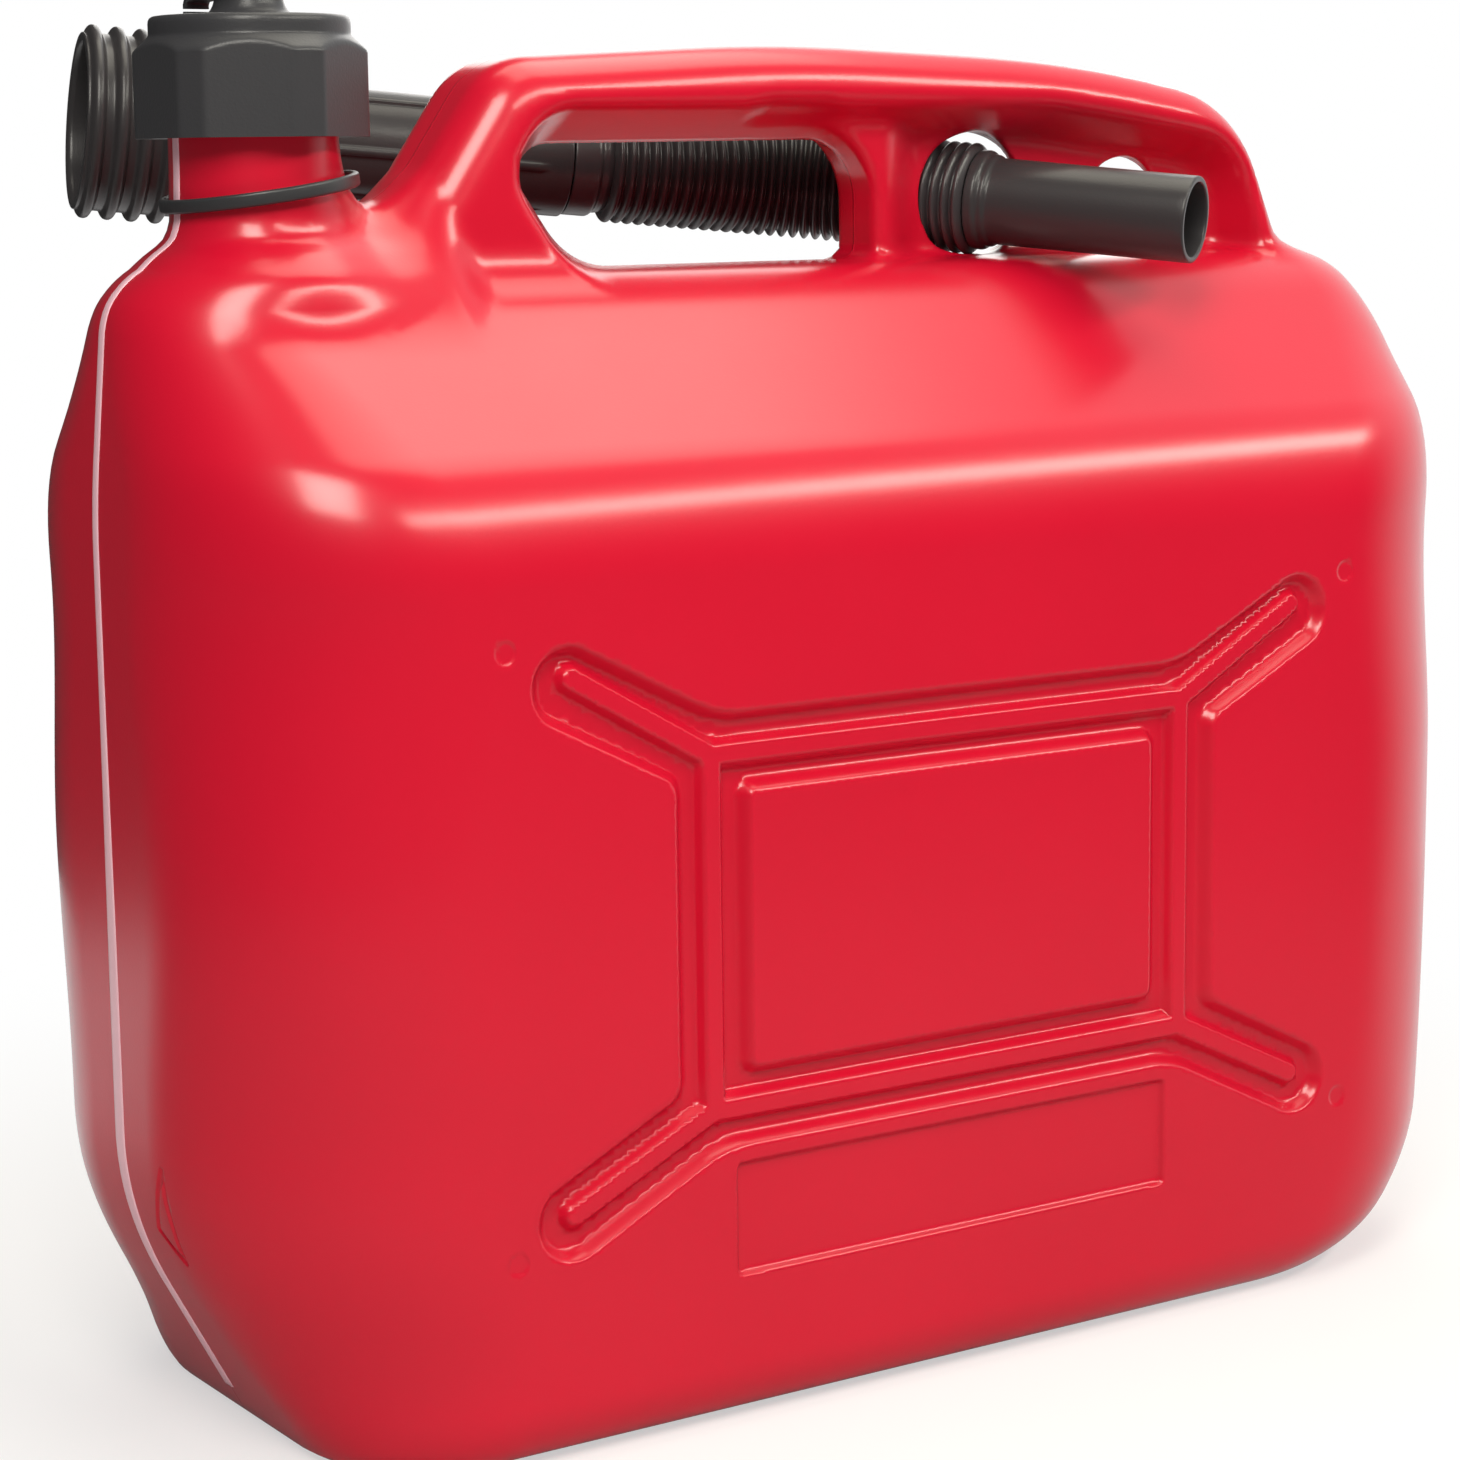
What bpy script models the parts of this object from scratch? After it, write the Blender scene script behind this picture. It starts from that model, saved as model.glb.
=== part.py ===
"""Ten litre blow-moulded fuel can.

The pouring spout is stowed behind the can, with its nozzle pushed through the round hole in the handle.
Units are metres. X runs along the can with the neck at the -X end, the front panel faces -Y, +Z is up,
and the origin is the centre of the flat base.
"""
import math

import bmesh
import bpy
from mathutils import Matrix, Vector

# General
SEAT_GAP = 0.0003
SPIGOT_GAP = 0.0006
CUT_OVERRUN = 0.002
TURN_STEPS = 32
SMALL_TURN_STEPS = 24
TUBE_ROUNDNESS = 4
MERGE = 0.00001

# Tank
TANK_LENGTH = 0.350
TANK_DEPTH = 0.141
TANK_TOP_Z = 0.2525
TANK_WALL = 0.0022
TANK_FRONT_BOTTOM_RADIUS = 0.0147
PLAN_FOOT_RADIUS = 0.060
PLAN_LOW_RADIUS = 0.0470
PLAN_LOW_Z = 0.030
PLAN_HIGH_RADIUS = 0.054
PLAN_HIGH_DROP = 0.0525
PLAN_TOP_RADIUS = 0.027
NECK_END_FOOT_HEIGHT = 0.044
NECK_END_FOOT_REACH = 0.026
NECK_END_FOOT_CURVE_SHARE = 1.45
NECK_END_TOP_RADIUS = 0.0135
FAR_END_FOOT_HEIGHT = 0.034
FAR_END_FOOT_REACH = 0.024
FAR_END_FOOT_CURVE_SHARE = 1.6
FAR_END_TOP_RADIUS = 0.025
CREASE_DROP = 0.0465
CREASE_RADIUS = 0.034
RIDGE_DEPTH = 0.034
CORNER_STEPS = 7
ARC_STEPS = 6

# Neck
NECK_X = -0.135
NECK_RADIUS = 0.0183
NECK_WALL = 0.0022
NECK_RISE = 0.0490
NECK_FOOT_FILLET = 0.006
NECK_FOOT_RISE = 0.0080
NECK_MOUND_TOP_RADIUS = 0.0295
NECK_MOUND_TOP_RISE = 0.0018
NECK_MOUND_RADIUS = 0.0385
NECK_MOUND_FOOT_DROP = 0.0265

# Handle
HANDLE_DEPTH = 0.034
HANDLE_EDGE_RADIUS = 0.009
HANDLE_WEB = 0.0026
HANDLE_LEFT_FOOT_X = -0.121
HANDLE_LEFT_TOP_X = -0.0815
HANDLE_LEFT_TOP_RISE = 0.0472
HANDLE_CROWN_X = -0.005
HANDLE_CROWN_RISE = 0.0509
HANDLE_FALL_X = 0.080
HANDLE_FALL_RISE = 0.0475
HANDLE_RIGHT_TOP_X = 0.1362
HANDLE_RIGHT_TOP_RISE = 0.0384
HANDLE_RIGHT_FOOT_X = 0.1550
HANDLE_FOOT_SINK = 0.0085
HANDLE_LEFT_CORNER_RADIUS = 0.020
HANDLE_CROWN_RADIUS = 0.500
HANDLE_RIGHT_CORNER_RADIUS = 0.034

# Recess under the handle bar, on both faces of the web
RECESS_LEFT_X = -0.073
RECESS_RIGHT_X = 0.1305
RECESS_RISE = 0.0310
RECESS_END_RISE = 0.0235
RECESS_FALL_X = 0.070
RECESS_CORNER_RADIUS = 0.012
RECESS_FLARE = 0.0065

# Grip opening, holes and post
GRIP_LEFT_X = -0.078
GRIP_SLANT_X = -0.064
GRIP_RIGHT_X = 0.0175
GRIP_RISE = 0.0305
GRIP_KNEE_RISE = 0.0215
GRIP_END_RADIUS = 0.0135
GRIP_CORNER_RADIUS = 0.006
GRIP_SILL = 0.0004
POST_RIGHT_X = 0.038
POST_DEPTH = 0.017
SPOUT_HOLE_X = 0.056
SPOUT_HOLE_RISE = 0.0147
SPOUT_HOLE_RADIUS = 0.0156
FREE_HOLE_X = 0.1035
FREE_HOLE_RISE = 0.0120
FREE_HOLE_RADIUS = 0.0118

# Raised frame with four arms on the front and back panels
EMBOSS_DEPTH = 0.0026
RIB_HALF_LENGTH = 0.065
RIB_LOW_Z = 0.0735
RIB_HIGH_Z = 0.1510
RIB_WIDTH = 0.0050
ARM_TIP_X = 0.0990
ARM_LOW_TIP_Z = 0.0550
ARM_HIGH_TIP_Z = 0.1705
FRAME_CHANNEL_WIDTH = 0.0200
ARM_CHANNEL_WIDTH = 0.0240
PLATE_HALF_LENGTH = 0.061
PLATE_LOW_Z = 0.0342
PLATE_HIGH_Z = 0.0605
PLATE_DEPTH = 0.0010
CAPSULE_STEPS = 8

# Sight stripe inlaid along the neck end of the parting line
STRIPE_WIDTH = 0.0028
STRIPE_DEPTH = 0.0010
STRIPE_RISE = 0.0275
STRIPE_FOOT_Z = 0.0060

# Cap
CAP_SKIRT_HEIGHT = 0.0178
CAP_SKIRT_RADIUS = 0.0250
CAP_FACE_HALF_WIDTH = 0.0096
CAP_FACES = 6
CAP_TURN = math.radians(4.0)
CAP_CONE_HEIGHT = 0.0034
CAP_DISC_HEIGHT = 0.0043
CAP_DISC_RADIUS = 0.0214
CAP_ROOF = 0.0038
CAP_EDGE_RADIUS = 0.0015
CAP_BORE_RADIUS = 0.0202
BOSS_HEIGHT = 0.0039
BOSS_FOOT_RADIUS = 0.0095
BOSS_TOP_RADIUS = 0.0072
STUD_RADIUS = 0.0040
STUD_HEAD_RADIUS = 0.0062
STUD_HEAD_HEIGHT = 0.0026
SEAL_INNER_RADIUS = 0.0120
SEAL_THICKNESS = 0.0022

# Tether
TETHER_THICKNESS = 0.0016
TETHER_RING_RADIUS = 0.0200
TETHER_RING_WIDTH = 0.0016
TETHER_RING_HEIGHT = 0.0030
TETHER_RING_SHIFT = 0.0011
TETHER_RING_RISE = 0.0187
TETHER_TILT = math.radians(8.0)
STRAP_WIDTH = 0.0060
STRAP_CLEARANCE = 0.0030
EYE_WIDTH = 0.0040

# Stowed spout: its centre line crosses the web in the middle of the spout hole
SPOUT_CROSSING_RISE = 0.0144
SPOUT_PITCH = math.radians(5.4)
BASE_HEADING = math.radians(16.0)
NOZZLE_HEADING = math.radians(57.8)
HOSE_END_RUN = 0.020
HOSE_BEND_RADIUS = 0.055
HOSE_START_RUN = 0.0335
HOSE_PAST_WEB = 0.0026
HOSE_RADIUS = 0.0122
HOSE_GROOVE_DEPTH = 0.0016
HOSE_BORE_RADIUS = 0.0096
HOSE_RIBS = 34
CUFF_LENGTH = 0.010
CUFF_RADIUS = 0.0124
CUFF_WALL = 0.0016

# Spout base: threaded mouth, cone and tube
MOUTH_CREST_RADIUS = 0.0224
MOUTH_ROOT_RADIUS = 0.0204
MOUTH_WALL = 0.0018
MOUTH_RIDGES = 4
MOUTH_RIDGE_PITCH = 0.0056
MOUTH_LENGTH = 0.024
CONE_LENGTH = 0.024
TUBE_RADIUS = 0.0130
TUBE_LENGTH = 0.069
TUBE_WALL = 0.0018
TUBE_FINS = 6
FIN_TURN = math.radians(22)
FIN_WIDTH = 0.0017
FIN_HEIGHT = 0.0008
FIN_END_RUN = 0.0070
SPIGOT_LENGTH = 0.008
SPIGOT_WALL = 0.0015
WASHER_THICKNESS = 0.0020
WASHER_INNER_RADIUS = 0.0130

# Nozzle
NOZZLE_LENGTH = 0.055
NOZZLE_RADIUS = 0.0104
NOZZLE_WALL = 0.0016
NOZZLE_FLANGE_RADIUS = 0.0120
NOZZLE_FLANGE = 0.0030
NOZZLE_SPIGOT = 0.010

# Sizes that follow from the ones above
NECK_TOP_Z = TANK_TOP_Z + NECK_RISE
NECK_FOOT_Z = TANK_TOP_Z + NECK_FOOT_RISE
NECK_MOUND_TOP_Z = TANK_TOP_Z + NECK_MOUND_TOP_RISE
NECK_MOUND_FOOT_Z = TANK_TOP_Z - NECK_MOUND_FOOT_DROP
HANDLE_LEFT_TOP_Z = TANK_TOP_Z + HANDLE_LEFT_TOP_RISE
HANDLE_CROWN_Z = TANK_TOP_Z + HANDLE_CROWN_RISE
HANDLE_FALL_Z = TANK_TOP_Z + HANDLE_FALL_RISE
HANDLE_RIGHT_TOP_Z = TANK_TOP_Z + HANDLE_RIGHT_TOP_RISE
RECESS_TOP_Z = TANK_TOP_Z + RECESS_RISE
RECESS_END_TOP_Z = TANK_TOP_Z + RECESS_END_RISE
GRIP_TOP_Z = TANK_TOP_Z + GRIP_RISE
GRIP_KNEE_Z = TANK_TOP_Z + GRIP_KNEE_RISE
SPOUT_HOLE_Z = TANK_TOP_Z + SPOUT_HOLE_RISE
FREE_HOLE_Z = TANK_TOP_Z + FREE_HOLE_RISE
STRIPE_TOP_Z = TANK_TOP_Z + STRIPE_RISE
TETHER_RING_Z = TANK_TOP_Z + TETHER_RING_RISE
SPOUT_CROSSING_Z = TANK_TOP_Z + SPOUT_CROSSING_RISE
CREASE_Z = TANK_TOP_Z - CREASE_DROP
PLAN_HIGH_Z = TANK_TOP_Z - PLAN_HIGH_DROP
HALF_LENGTH = TANK_LENGTH / 2
HALF_DEPTH = TANK_DEPTH / 2
RIDGE_HALF = RIDGE_DEPTH / 2
HALF_HANDLE = HANDLE_DEPTH / 2
HALF_WEB = HANDLE_WEB / 2
SHOULDER_FALL = (TANK_TOP_Z - CREASE_Z) / (HALF_DEPTH - RIDGE_HALF)
SHOULDER_TURN = math.pi / 2 - math.atan(SHOULDER_FALL)
CAP_CEILING_Z = NECK_TOP_Z + 2 * SEAT_GAP + SEAL_THICKNESS
CAP_TOP_Z = CAP_CEILING_Z + CAP_ROOF
CAP_DISC_Z = CAP_TOP_Z - CAP_DISC_HEIGHT
CAP_SHOULDER_Z = CAP_DISC_Z - CAP_CONE_HEIGHT
CAP_BOTTOM_Z = CAP_SHOULDER_Z - CAP_SKIRT_HEIGHT
BOSS_TOP_Z = CAP_TOP_Z + BOSS_HEIGHT

DARK_PLASTIC = (0.030, 0.030, 0.033)


# Small helpers

def new_collection(name):
    """Make a collection in the scene."""
    made = bpy.data.collections.new(name)
    bpy.context.scene.collection.children.link(made)
    return made


def make_material(name, color, roughness, alpha=1.0):
    """Make a plain Principled material."""
    material = bpy.data.materials.new(name)
    material.use_nodes = True
    shader = material.node_tree.nodes["Principled BSDF"]
    shader.inputs["Base Color"].default_value = (*color, 1.0)
    shader.inputs["Roughness"].default_value = roughness
    shader.inputs["Metallic"].default_value = 0.0
    shader.inputs["Alpha"].default_value = alpha
    return material


def object_from(name, mesh, collection, material=None):
    """Link a mesh as a named object."""
    made = bpy.data.objects.new(name, mesh)
    collection.objects.link(made)
    if material:
        mesh.materials.append(material)
    return made


def mesh_from_bmesh(name, shape):
    """Turn a bmesh into mesh data with its faces pointing out."""
    bmesh.ops.recalc_face_normals(shape, faces=shape.faces)
    mesh = bpy.data.meshes.new(name)
    shape.to_mesh(mesh)
    shape.free()
    return mesh


def loft(name, rings, collection, material=None):
    """Skin a list of rings that have equal counts of points, and close both ends."""
    shape = bmesh.new()
    made = [[shape.verts.new(point) for point in ring] for ring in rings]
    count = len(rings[0])
    for low, high in zip(made, made[1:]):
        for i in range(count):
            j = (i + 1) % count
            shape.faces.new((low[i], low[j], high[j], high[i]))
    shape.faces.new(list(reversed(made[0])))
    shape.faces.new(made[-1])
    return object_from(name, mesh_from_bmesh(name, shape), collection, material)


def turned(name, profile, steps, collection, material=None):
    """Turn a profile of (radius, height) pairs round Z, top to bottom down its outer side.

    Ends on the axis stand for flat ends, which are filled as single faces.
    """
    mesh = bpy.data.meshes.new(name)
    points = [(radius, 0, height) for radius, height in profile if radius > 0]
    edges = [(i, i + 1) for i in range(len(points) - 1)]
    if len(points) == len(profile):
        edges.append((len(points) - 1, 0))
    mesh.from_pydata(points, edges, [])
    made = object_from(name, mesh, collection, material)
    screw = made.modifiers.new("turn", "SCREW")
    screw.angle = math.tau
    screw.steps = steps
    screw.render_steps = steps
    screw.use_merge_vertices = True
    screw.merge_threshold = MERGE
    screw.use_smooth_shade = False
    return applied(made)


def applied(thing):
    """Replace an object's mesh by its evaluated one, without modifiers."""
    evaluated = thing.evaluated_get(bpy.context.evaluated_depsgraph_get())
    mesh = bpy.data.meshes.new_from_object(evaluated)
    shape = bmesh.new()
    shape.from_mesh(mesh)
    bmesh.ops.remove_doubles(shape, verts=shape.verts, dist=MERGE)
    bmesh.ops.dissolve_degenerate(shape, edges=shape.edges, dist=MERGE)
    bmesh.ops.holes_fill(shape, edges=[edge for edge in shape.edges if edge.is_boundary])
    bmesh.ops.recalc_face_normals(shape, faces=shape.faces)
    shape.to_mesh(mesh)
    shape.free()
    thing.modifiers.clear()
    thing.data = mesh
    return thing


def boolean(target, cutter, operation):
    """Add an exact Boolean to the target."""
    step = target.modifiers.new(cutter.name, "BOOLEAN")
    step.operation = operation
    step.object = cutter
    step.solver = "EXACT"
    return step


def as_guide(thing):
    """Mark a cutter or guide object."""
    thing.hide_render = True
    thing.display_type = "WIRE"
    return thing


def fillet_arc(before, corner, after, radius, steps):
    """Points of the arc that rounds one corner of a flat outline."""
    to_before = (before - corner).normalized()
    to_after = (after - corner).normalized()
    half = to_before.angle(to_after) / 2
    if radius <= 0:
        return [corner]
    reach = radius / math.tan(half)
    centre = corner + (to_before + to_after).normalized() * radius / math.sin(half)
    start = corner + to_before * reach - centre
    end = corner + to_after * reach - centre
    turn = start.angle_signed(end)
    return [centre + Matrix.Rotation(-turn * i / steps, 2) @ start for i in range(steps + 1)]


def filleted(corners, steps):
    """Round each corner of a closed outline, given as (x, z, radius)."""
    places = [Vector((x, z)) for x, z, _ in corners]
    outline = []
    for i, (_, _, radius) in enumerate(corners):
        after = places[(i + 1) % len(places)]
        outline += fillet_arc(places[i - 1], places[i], after, radius, steps)
    return outline


def slab(name, outline, low_y, high_y, collection, material=None):
    """Extrude a flat XZ outline between two Y planes."""
    rings = [[(x, y, z) for x, z in outline] for y in (low_y, high_y)]
    return loft(name, rings, collection, material)


def capsule(start, end, width):
    """Outline of a bar with round ends between two points."""
    along = (end - start).normalized()
    side = Vector((-along.y, along.x)) * width / 2
    outline = []
    for centre, sign in ((end, -1), (start, 1)):
        for i in range(CAPSULE_STEPS + 1):
            outline.append(centre + Matrix.Rotation(math.pi * i / CAPSULE_STEPS, 2) @ side * sign)
    return outline


# Tank

def tank_levels():
    """Heights of the tank's rings, close together where its profiles turn."""
    levels = []
    for i in range(ARC_STEPS + 1):
        levels.append(NECK_END_FOOT_HEIGHT * (1 - math.cos(math.pi / 2 * i / ARC_STEPS)))
    start = CREASE_Z - CREASE_RADIUS * math.tan(SHOULDER_TURN / 2)
    for i in range(ARC_STEPS + 1):
        levels.append(start + CREASE_RADIUS * math.sin(SHOULDER_TURN * i / ARC_STEPS))
    for i in range(ARC_STEPS + 1):
        rise = FAR_END_TOP_RADIUS * (1 - math.sin(math.pi / 2 * i / ARC_STEPS))
        levels.append(TANK_TOP_Z - rise)
    return levels


def end_reach(z, side):
    """How far the tank reaches at a height, to the neck end (side -1) or the far end (side 1)."""
    if side < 0:
        height, reach, curve, top = (NECK_END_FOOT_HEIGHT, NECK_END_FOOT_REACH, NECK_END_FOOT_CURVE_SHARE,
                                     NECK_END_TOP_RADIUS)
    else:
        height, reach, curve, top = (FAR_END_FOOT_HEIGHT, FAR_END_FOOT_REACH, FAR_END_FOOT_CURVE_SHARE,
                                     FAR_END_TOP_RADIUS)
    foot = reach * max(0, 1 - z / height) ** curve
    rise = max(0, z - TANK_TOP_Z + top)
    return HALF_LENGTH - foot - (top - math.sqrt(max(0, top ** 2 - rise ** 2)))


def plan_radius(z):
    """Corner radius of the tank in plan at a height."""
    stops = ((0, PLAN_FOOT_RADIUS), (PLAN_LOW_Z, PLAN_LOW_RADIUS), (PLAN_HIGH_Z, PLAN_HIGH_RADIUS),
             (TANK_TOP_Z, PLAN_TOP_RADIUS))
    for (z0, r0), (z1, r1) in zip(stops, stops[1:]):
        if z <= z1:
            return r0 + (r1 - r0) * (z - z0) / (z1 - z0)
    return PLAN_TOP_RADIUS


def face_reach(z):
    """Half depth of the tank at a height: round foot, upright face, crease and sloping shoulder."""
    start = CREASE_Z - CREASE_RADIUS * math.tan(SHOULDER_TURN / 2)
    end = start + CREASE_RADIUS * math.sin(SHOULDER_TURN)
    if z < TANK_FRONT_BOTTOM_RADIUS:
        rise = TANK_FRONT_BOTTOM_RADIUS - z
        return HALF_DEPTH - TANK_FRONT_BOTTOM_RADIUS + math.sqrt(TANK_FRONT_BOTTOM_RADIUS ** 2 - rise ** 2)
    if z <= start:
        return HALF_DEPTH
    if z < end:
        turn = math.asin((z - start) / CREASE_RADIUS)
        return HALF_DEPTH - CREASE_RADIUS * (1 - math.cos(turn))
    return RIDGE_HALF + (TANK_TOP_Z - z) / SHOULDER_FALL


def tank_ring(z, inset):
    """Rounded rectangle of the tank at a height, drawn in by the inset."""
    ends = {side: end_reach(z, side) - inset for side in (-1, 1)}
    half_y = face_reach(z) - inset
    radius = min(plan_radius(z) - inset, half_y - SEAT_GAP)
    ring = []
    for quarter, (sx, sy) in enumerate(((1, 1), (-1, 1), (-1, -1), (1, -1))):
        for i in range(CORNER_STEPS + 1):
            angle = math.pi / 2 * (quarter + i / CORNER_STEPS)
            x = sx * (ends[sx] - radius) + radius * math.cos(angle)
            y = sy * (half_y - radius) + radius * math.sin(angle)
            ring.append((x, y))
    return ring


def make_tank(name, inset, collection):
    """Loft the tank's rings; an inset gives the hollow inside its wall."""
    rings = []
    span = TANK_TOP_Z - 2 * inset
    for z in tank_levels():
        height = inset + z / TANK_TOP_Z * span
        rings.append([(x, y, height) for x, y in tank_ring(z, inset)])
    return loft(name, rings, collection)


# Neck

def neck_foot():
    """Outer profile of the neck's foot, from the neck's wall down to the mound's skirt."""
    points = []
    centre = NECK_RADIUS + NECK_FOOT_FILLET
    turn = math.radians(60)
    for i in range(4):
        angle = turn * i / 3
        radius = centre - NECK_FOOT_FILLET * math.cos(angle)
        points.append((radius, NECK_FOOT_Z + NECK_FOOT_FILLET * (1 - math.sin(angle))))
    rise = NECK_MOUND_TOP_Z - NECK_MOUND_FOOT_Z
    spread = NECK_MOUND_RADIUS - NECK_MOUND_TOP_RADIUS
    for i in range(5):
        angle = math.pi / 2 * i / 4
        radius = NECK_MOUND_TOP_RADIUS + spread * math.sin(angle)
        points.append((radius, NECK_MOUND_TOP_Z - rise * (1 - math.cos(angle))))
    return points


def make_neck(name, collection):
    """Turned neck with its mound, sunk into the tank."""
    foot = TANK_TOP_Z - FAR_END_TOP_RADIUS - TANK_FRONT_BOTTOM_RADIUS
    profile = [(0, NECK_TOP_Z), (NECK_RADIUS, NECK_TOP_Z)] + neck_foot() + [(0, foot)]
    made = turned(name, profile, TURN_STEPS, collection)
    made.location.x = NECK_X
    return made


# Handle

def handle_outline():
    """Outer outline of the handle, seen from the front."""
    foot = TANK_TOP_Z - HANDLE_FOOT_SINK
    return filleted(
        [
            (HANDLE_LEFT_FOOT_X, foot, 0),
            (HANDLE_RIGHT_FOOT_X, foot, 0),
            (HANDLE_RIGHT_TOP_X, HANDLE_RIGHT_TOP_Z, HANDLE_RIGHT_CORNER_RADIUS),
            (HANDLE_FALL_X, HANDLE_FALL_Z, HANDLE_CROWN_RADIUS),
            (HANDLE_CROWN_X, HANDLE_CROWN_Z, HANDLE_CROWN_RADIUS),
            (HANDLE_LEFT_TOP_X, HANDLE_LEFT_TOP_Z, HANDLE_LEFT_CORNER_RADIUS),
        ],
        ARC_STEPS,
    )


def recess_outline(grow):
    """Outline of the recess under the bar, grown outwards for its flared rim."""
    foot = TANK_TOP_Z - HANDLE_FOOT_SINK - CUT_OVERRUN
    radius = RECESS_CORNER_RADIUS
    return filleted(
        [
            (RECESS_LEFT_X - grow, foot, 0),
            (RECESS_RIGHT_X + grow, foot, 0),
            (RECESS_RIGHT_X + grow, RECESS_END_TOP_Z + grow, radius),
            (RECESS_FALL_X, RECESS_TOP_Z + grow, radius),
            (RECESS_LEFT_X - grow, RECESS_TOP_Z + grow, radius),
        ],
        ARC_STEPS,
    )


def make_recess(name, side, collection):
    """Cutter for the recess on one face: -1 is the front and 1 the back."""
    deep = recess_outline(0)
    rim = recess_outline(RECESS_FLARE)
    past = recess_outline(RECESS_FLARE + CUT_OVERRUN)
    places = ((HALF_WEB, deep), (HALF_WEB + RECESS_FLARE, deep), (HALF_HANDLE, rim), (HALF_HANDLE + CUT_OVERRUN, past))
    rings = [[(x, side * y, z) for x, z in outline] for y, outline in places]
    return as_guide(loft(name, rings, collection))


def grip_outline():
    """Outline of the hand opening."""
    foot = TANK_TOP_Z - HANDLE_FOOT_SINK - CUT_OVERRUN
    return filleted(
        [
            (GRIP_SLANT_X, foot, 0),
            (GRIP_RIGHT_X - GRIP_END_RADIUS - GRIP_SILL, foot, 0),
            (GRIP_RIGHT_X - GRIP_END_RADIUS - GRIP_SILL, TANK_TOP_Z + GRIP_SILL, 0),
            (GRIP_RIGHT_X, TANK_TOP_Z + GRIP_SILL, GRIP_END_RADIUS),
            (GRIP_RIGHT_X, GRIP_TOP_Z, GRIP_END_RADIUS),
            (GRIP_LEFT_X, GRIP_TOP_Z, GRIP_CORNER_RADIUS),
            (GRIP_LEFT_X, GRIP_KNEE_Z, GRIP_CORNER_RADIUS),
            (GRIP_SLANT_X, TANK_TOP_Z + GRIP_SILL, 0),
        ],
        ARC_STEPS,
    )


def make_handle(collection):
    """Handle plate with round edges, recessed web, grip opening and two round holes."""
    plate = slab("handle_plate", handle_outline(), -HALF_HANDLE, HALF_HANDLE, collection)
    bevel = plate.modifiers.new("round_edges", "BEVEL")
    bevel.width = HANDLE_EDGE_RADIUS
    bevel.segments = 3
    bevel.limit_method = "ANGLE"
    bevel.angle_limit = math.radians(60)
    for side in (-1, 1):
        boolean(plate, make_recess(f"recess_{side}", side, collection), "DIFFERENCE")
    applied(plate)
    wedge = [
        (GRIP_RIGHT_X - GRIP_END_RADIUS - CUT_OVERRUN, POST_DEPTH / 2),
        (GRIP_RIGHT_X - GRIP_END_RADIUS - CUT_OVERRUN, -POST_DEPTH / 2),
        (GRIP_RIGHT_X, -POST_DEPTH / 2),
        (POST_RIGHT_X, -HALF_WEB),
        (POST_RIGHT_X, HALF_WEB),
        (GRIP_RIGHT_X, POST_DEPTH / 2),
    ]
    heights = (TANK_TOP_Z - HANDLE_FOOT_SINK + SEAT_GAP, RECESS_TOP_Z + RECESS_FLARE / 2)
    post = as_guide(loft("post", [[(x, y, z) for x, y in wedge] for z in heights], collection))
    boolean(plate, post, "UNION")
    reach = HALF_HANDLE + CUT_OVERRUN
    grip = as_guide(slab("grip_opening", grip_outline(), -reach, reach, collection))
    boolean(plate, grip, "DIFFERENCE")
    holes = (("spout_hole", SPOUT_HOLE_X, SPOUT_HOLE_Z, SPOUT_HOLE_RADIUS),
             ("free_hole", FREE_HOLE_X, FREE_HOLE_Z, FREE_HOLE_RADIUS))
    for name, x, z, radius in holes:
        shape = bmesh.new()
        bmesh.ops.create_cone(shape, cap_ends=True, segments=TURN_STEPS, radius1=radius, radius2=radius,
                              depth=2 * reach)
        hole = object_from(name, mesh_from_bmesh(name, shape), collection)
        hole.location = (x, 0, z)
        hole.rotation_euler.x = math.pi / 2
        boolean(plate, as_guide(hole), "DIFFERENCE")
    bpy.context.view_layer.update()
    return as_guide(applied(plate))


# Panels

def panel_arms():
    """Start and end of the four arms' centre lines."""
    return [
        (Vector((sx * RIB_HALF_LENGTH, rib_z)), Vector((sx * ARM_TIP_X, tip_z)))
        for sx in (-1, 1)
        for rib_z, tip_z in ((RIB_LOW_Z, ARM_LOW_TIP_Z), (RIB_HIGH_Z, ARM_HIGH_TIP_Z))
    ]


def panel_block(name, side, outline, depth, collection):
    """Slab that reaches from outside a panel's face to a depth under it."""
    low, high = sorted((side * (HALF_DEPTH - depth), side * (HALF_DEPTH + CUT_OVERRUN)))
    return slab(f"{name}_{side}", outline, low, high, collection)


def box(half_x, low_z, high_z):
    """Outline of a box that is even about the middle of the can."""
    return [(-half_x, low_z), (half_x, low_z), (half_x, high_z), (-half_x, high_z)]


def make_channel(name, side, grow, depth, collection):
    """Frame channel with its four lanes as one filled block, grown by a margin."""
    reach = FRAME_CHANNEL_WIDTH / 2 + grow
    outline = box(RIB_HALF_LENGTH + reach, RIB_LOW_Z - reach, RIB_HIGH_Z + reach)
    channel = panel_block(name, side, outline, depth, collection)
    for i, (start, end) in enumerate(panel_arms()):
        outline = capsule(start, end, ARM_CHANNEL_WIDTH + 2 * grow)
        lane = panel_block(f"{name}_lane_{i}", side, outline, depth, collection)
        boolean(channel, as_guide(lane), "UNION")
    return channel


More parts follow.
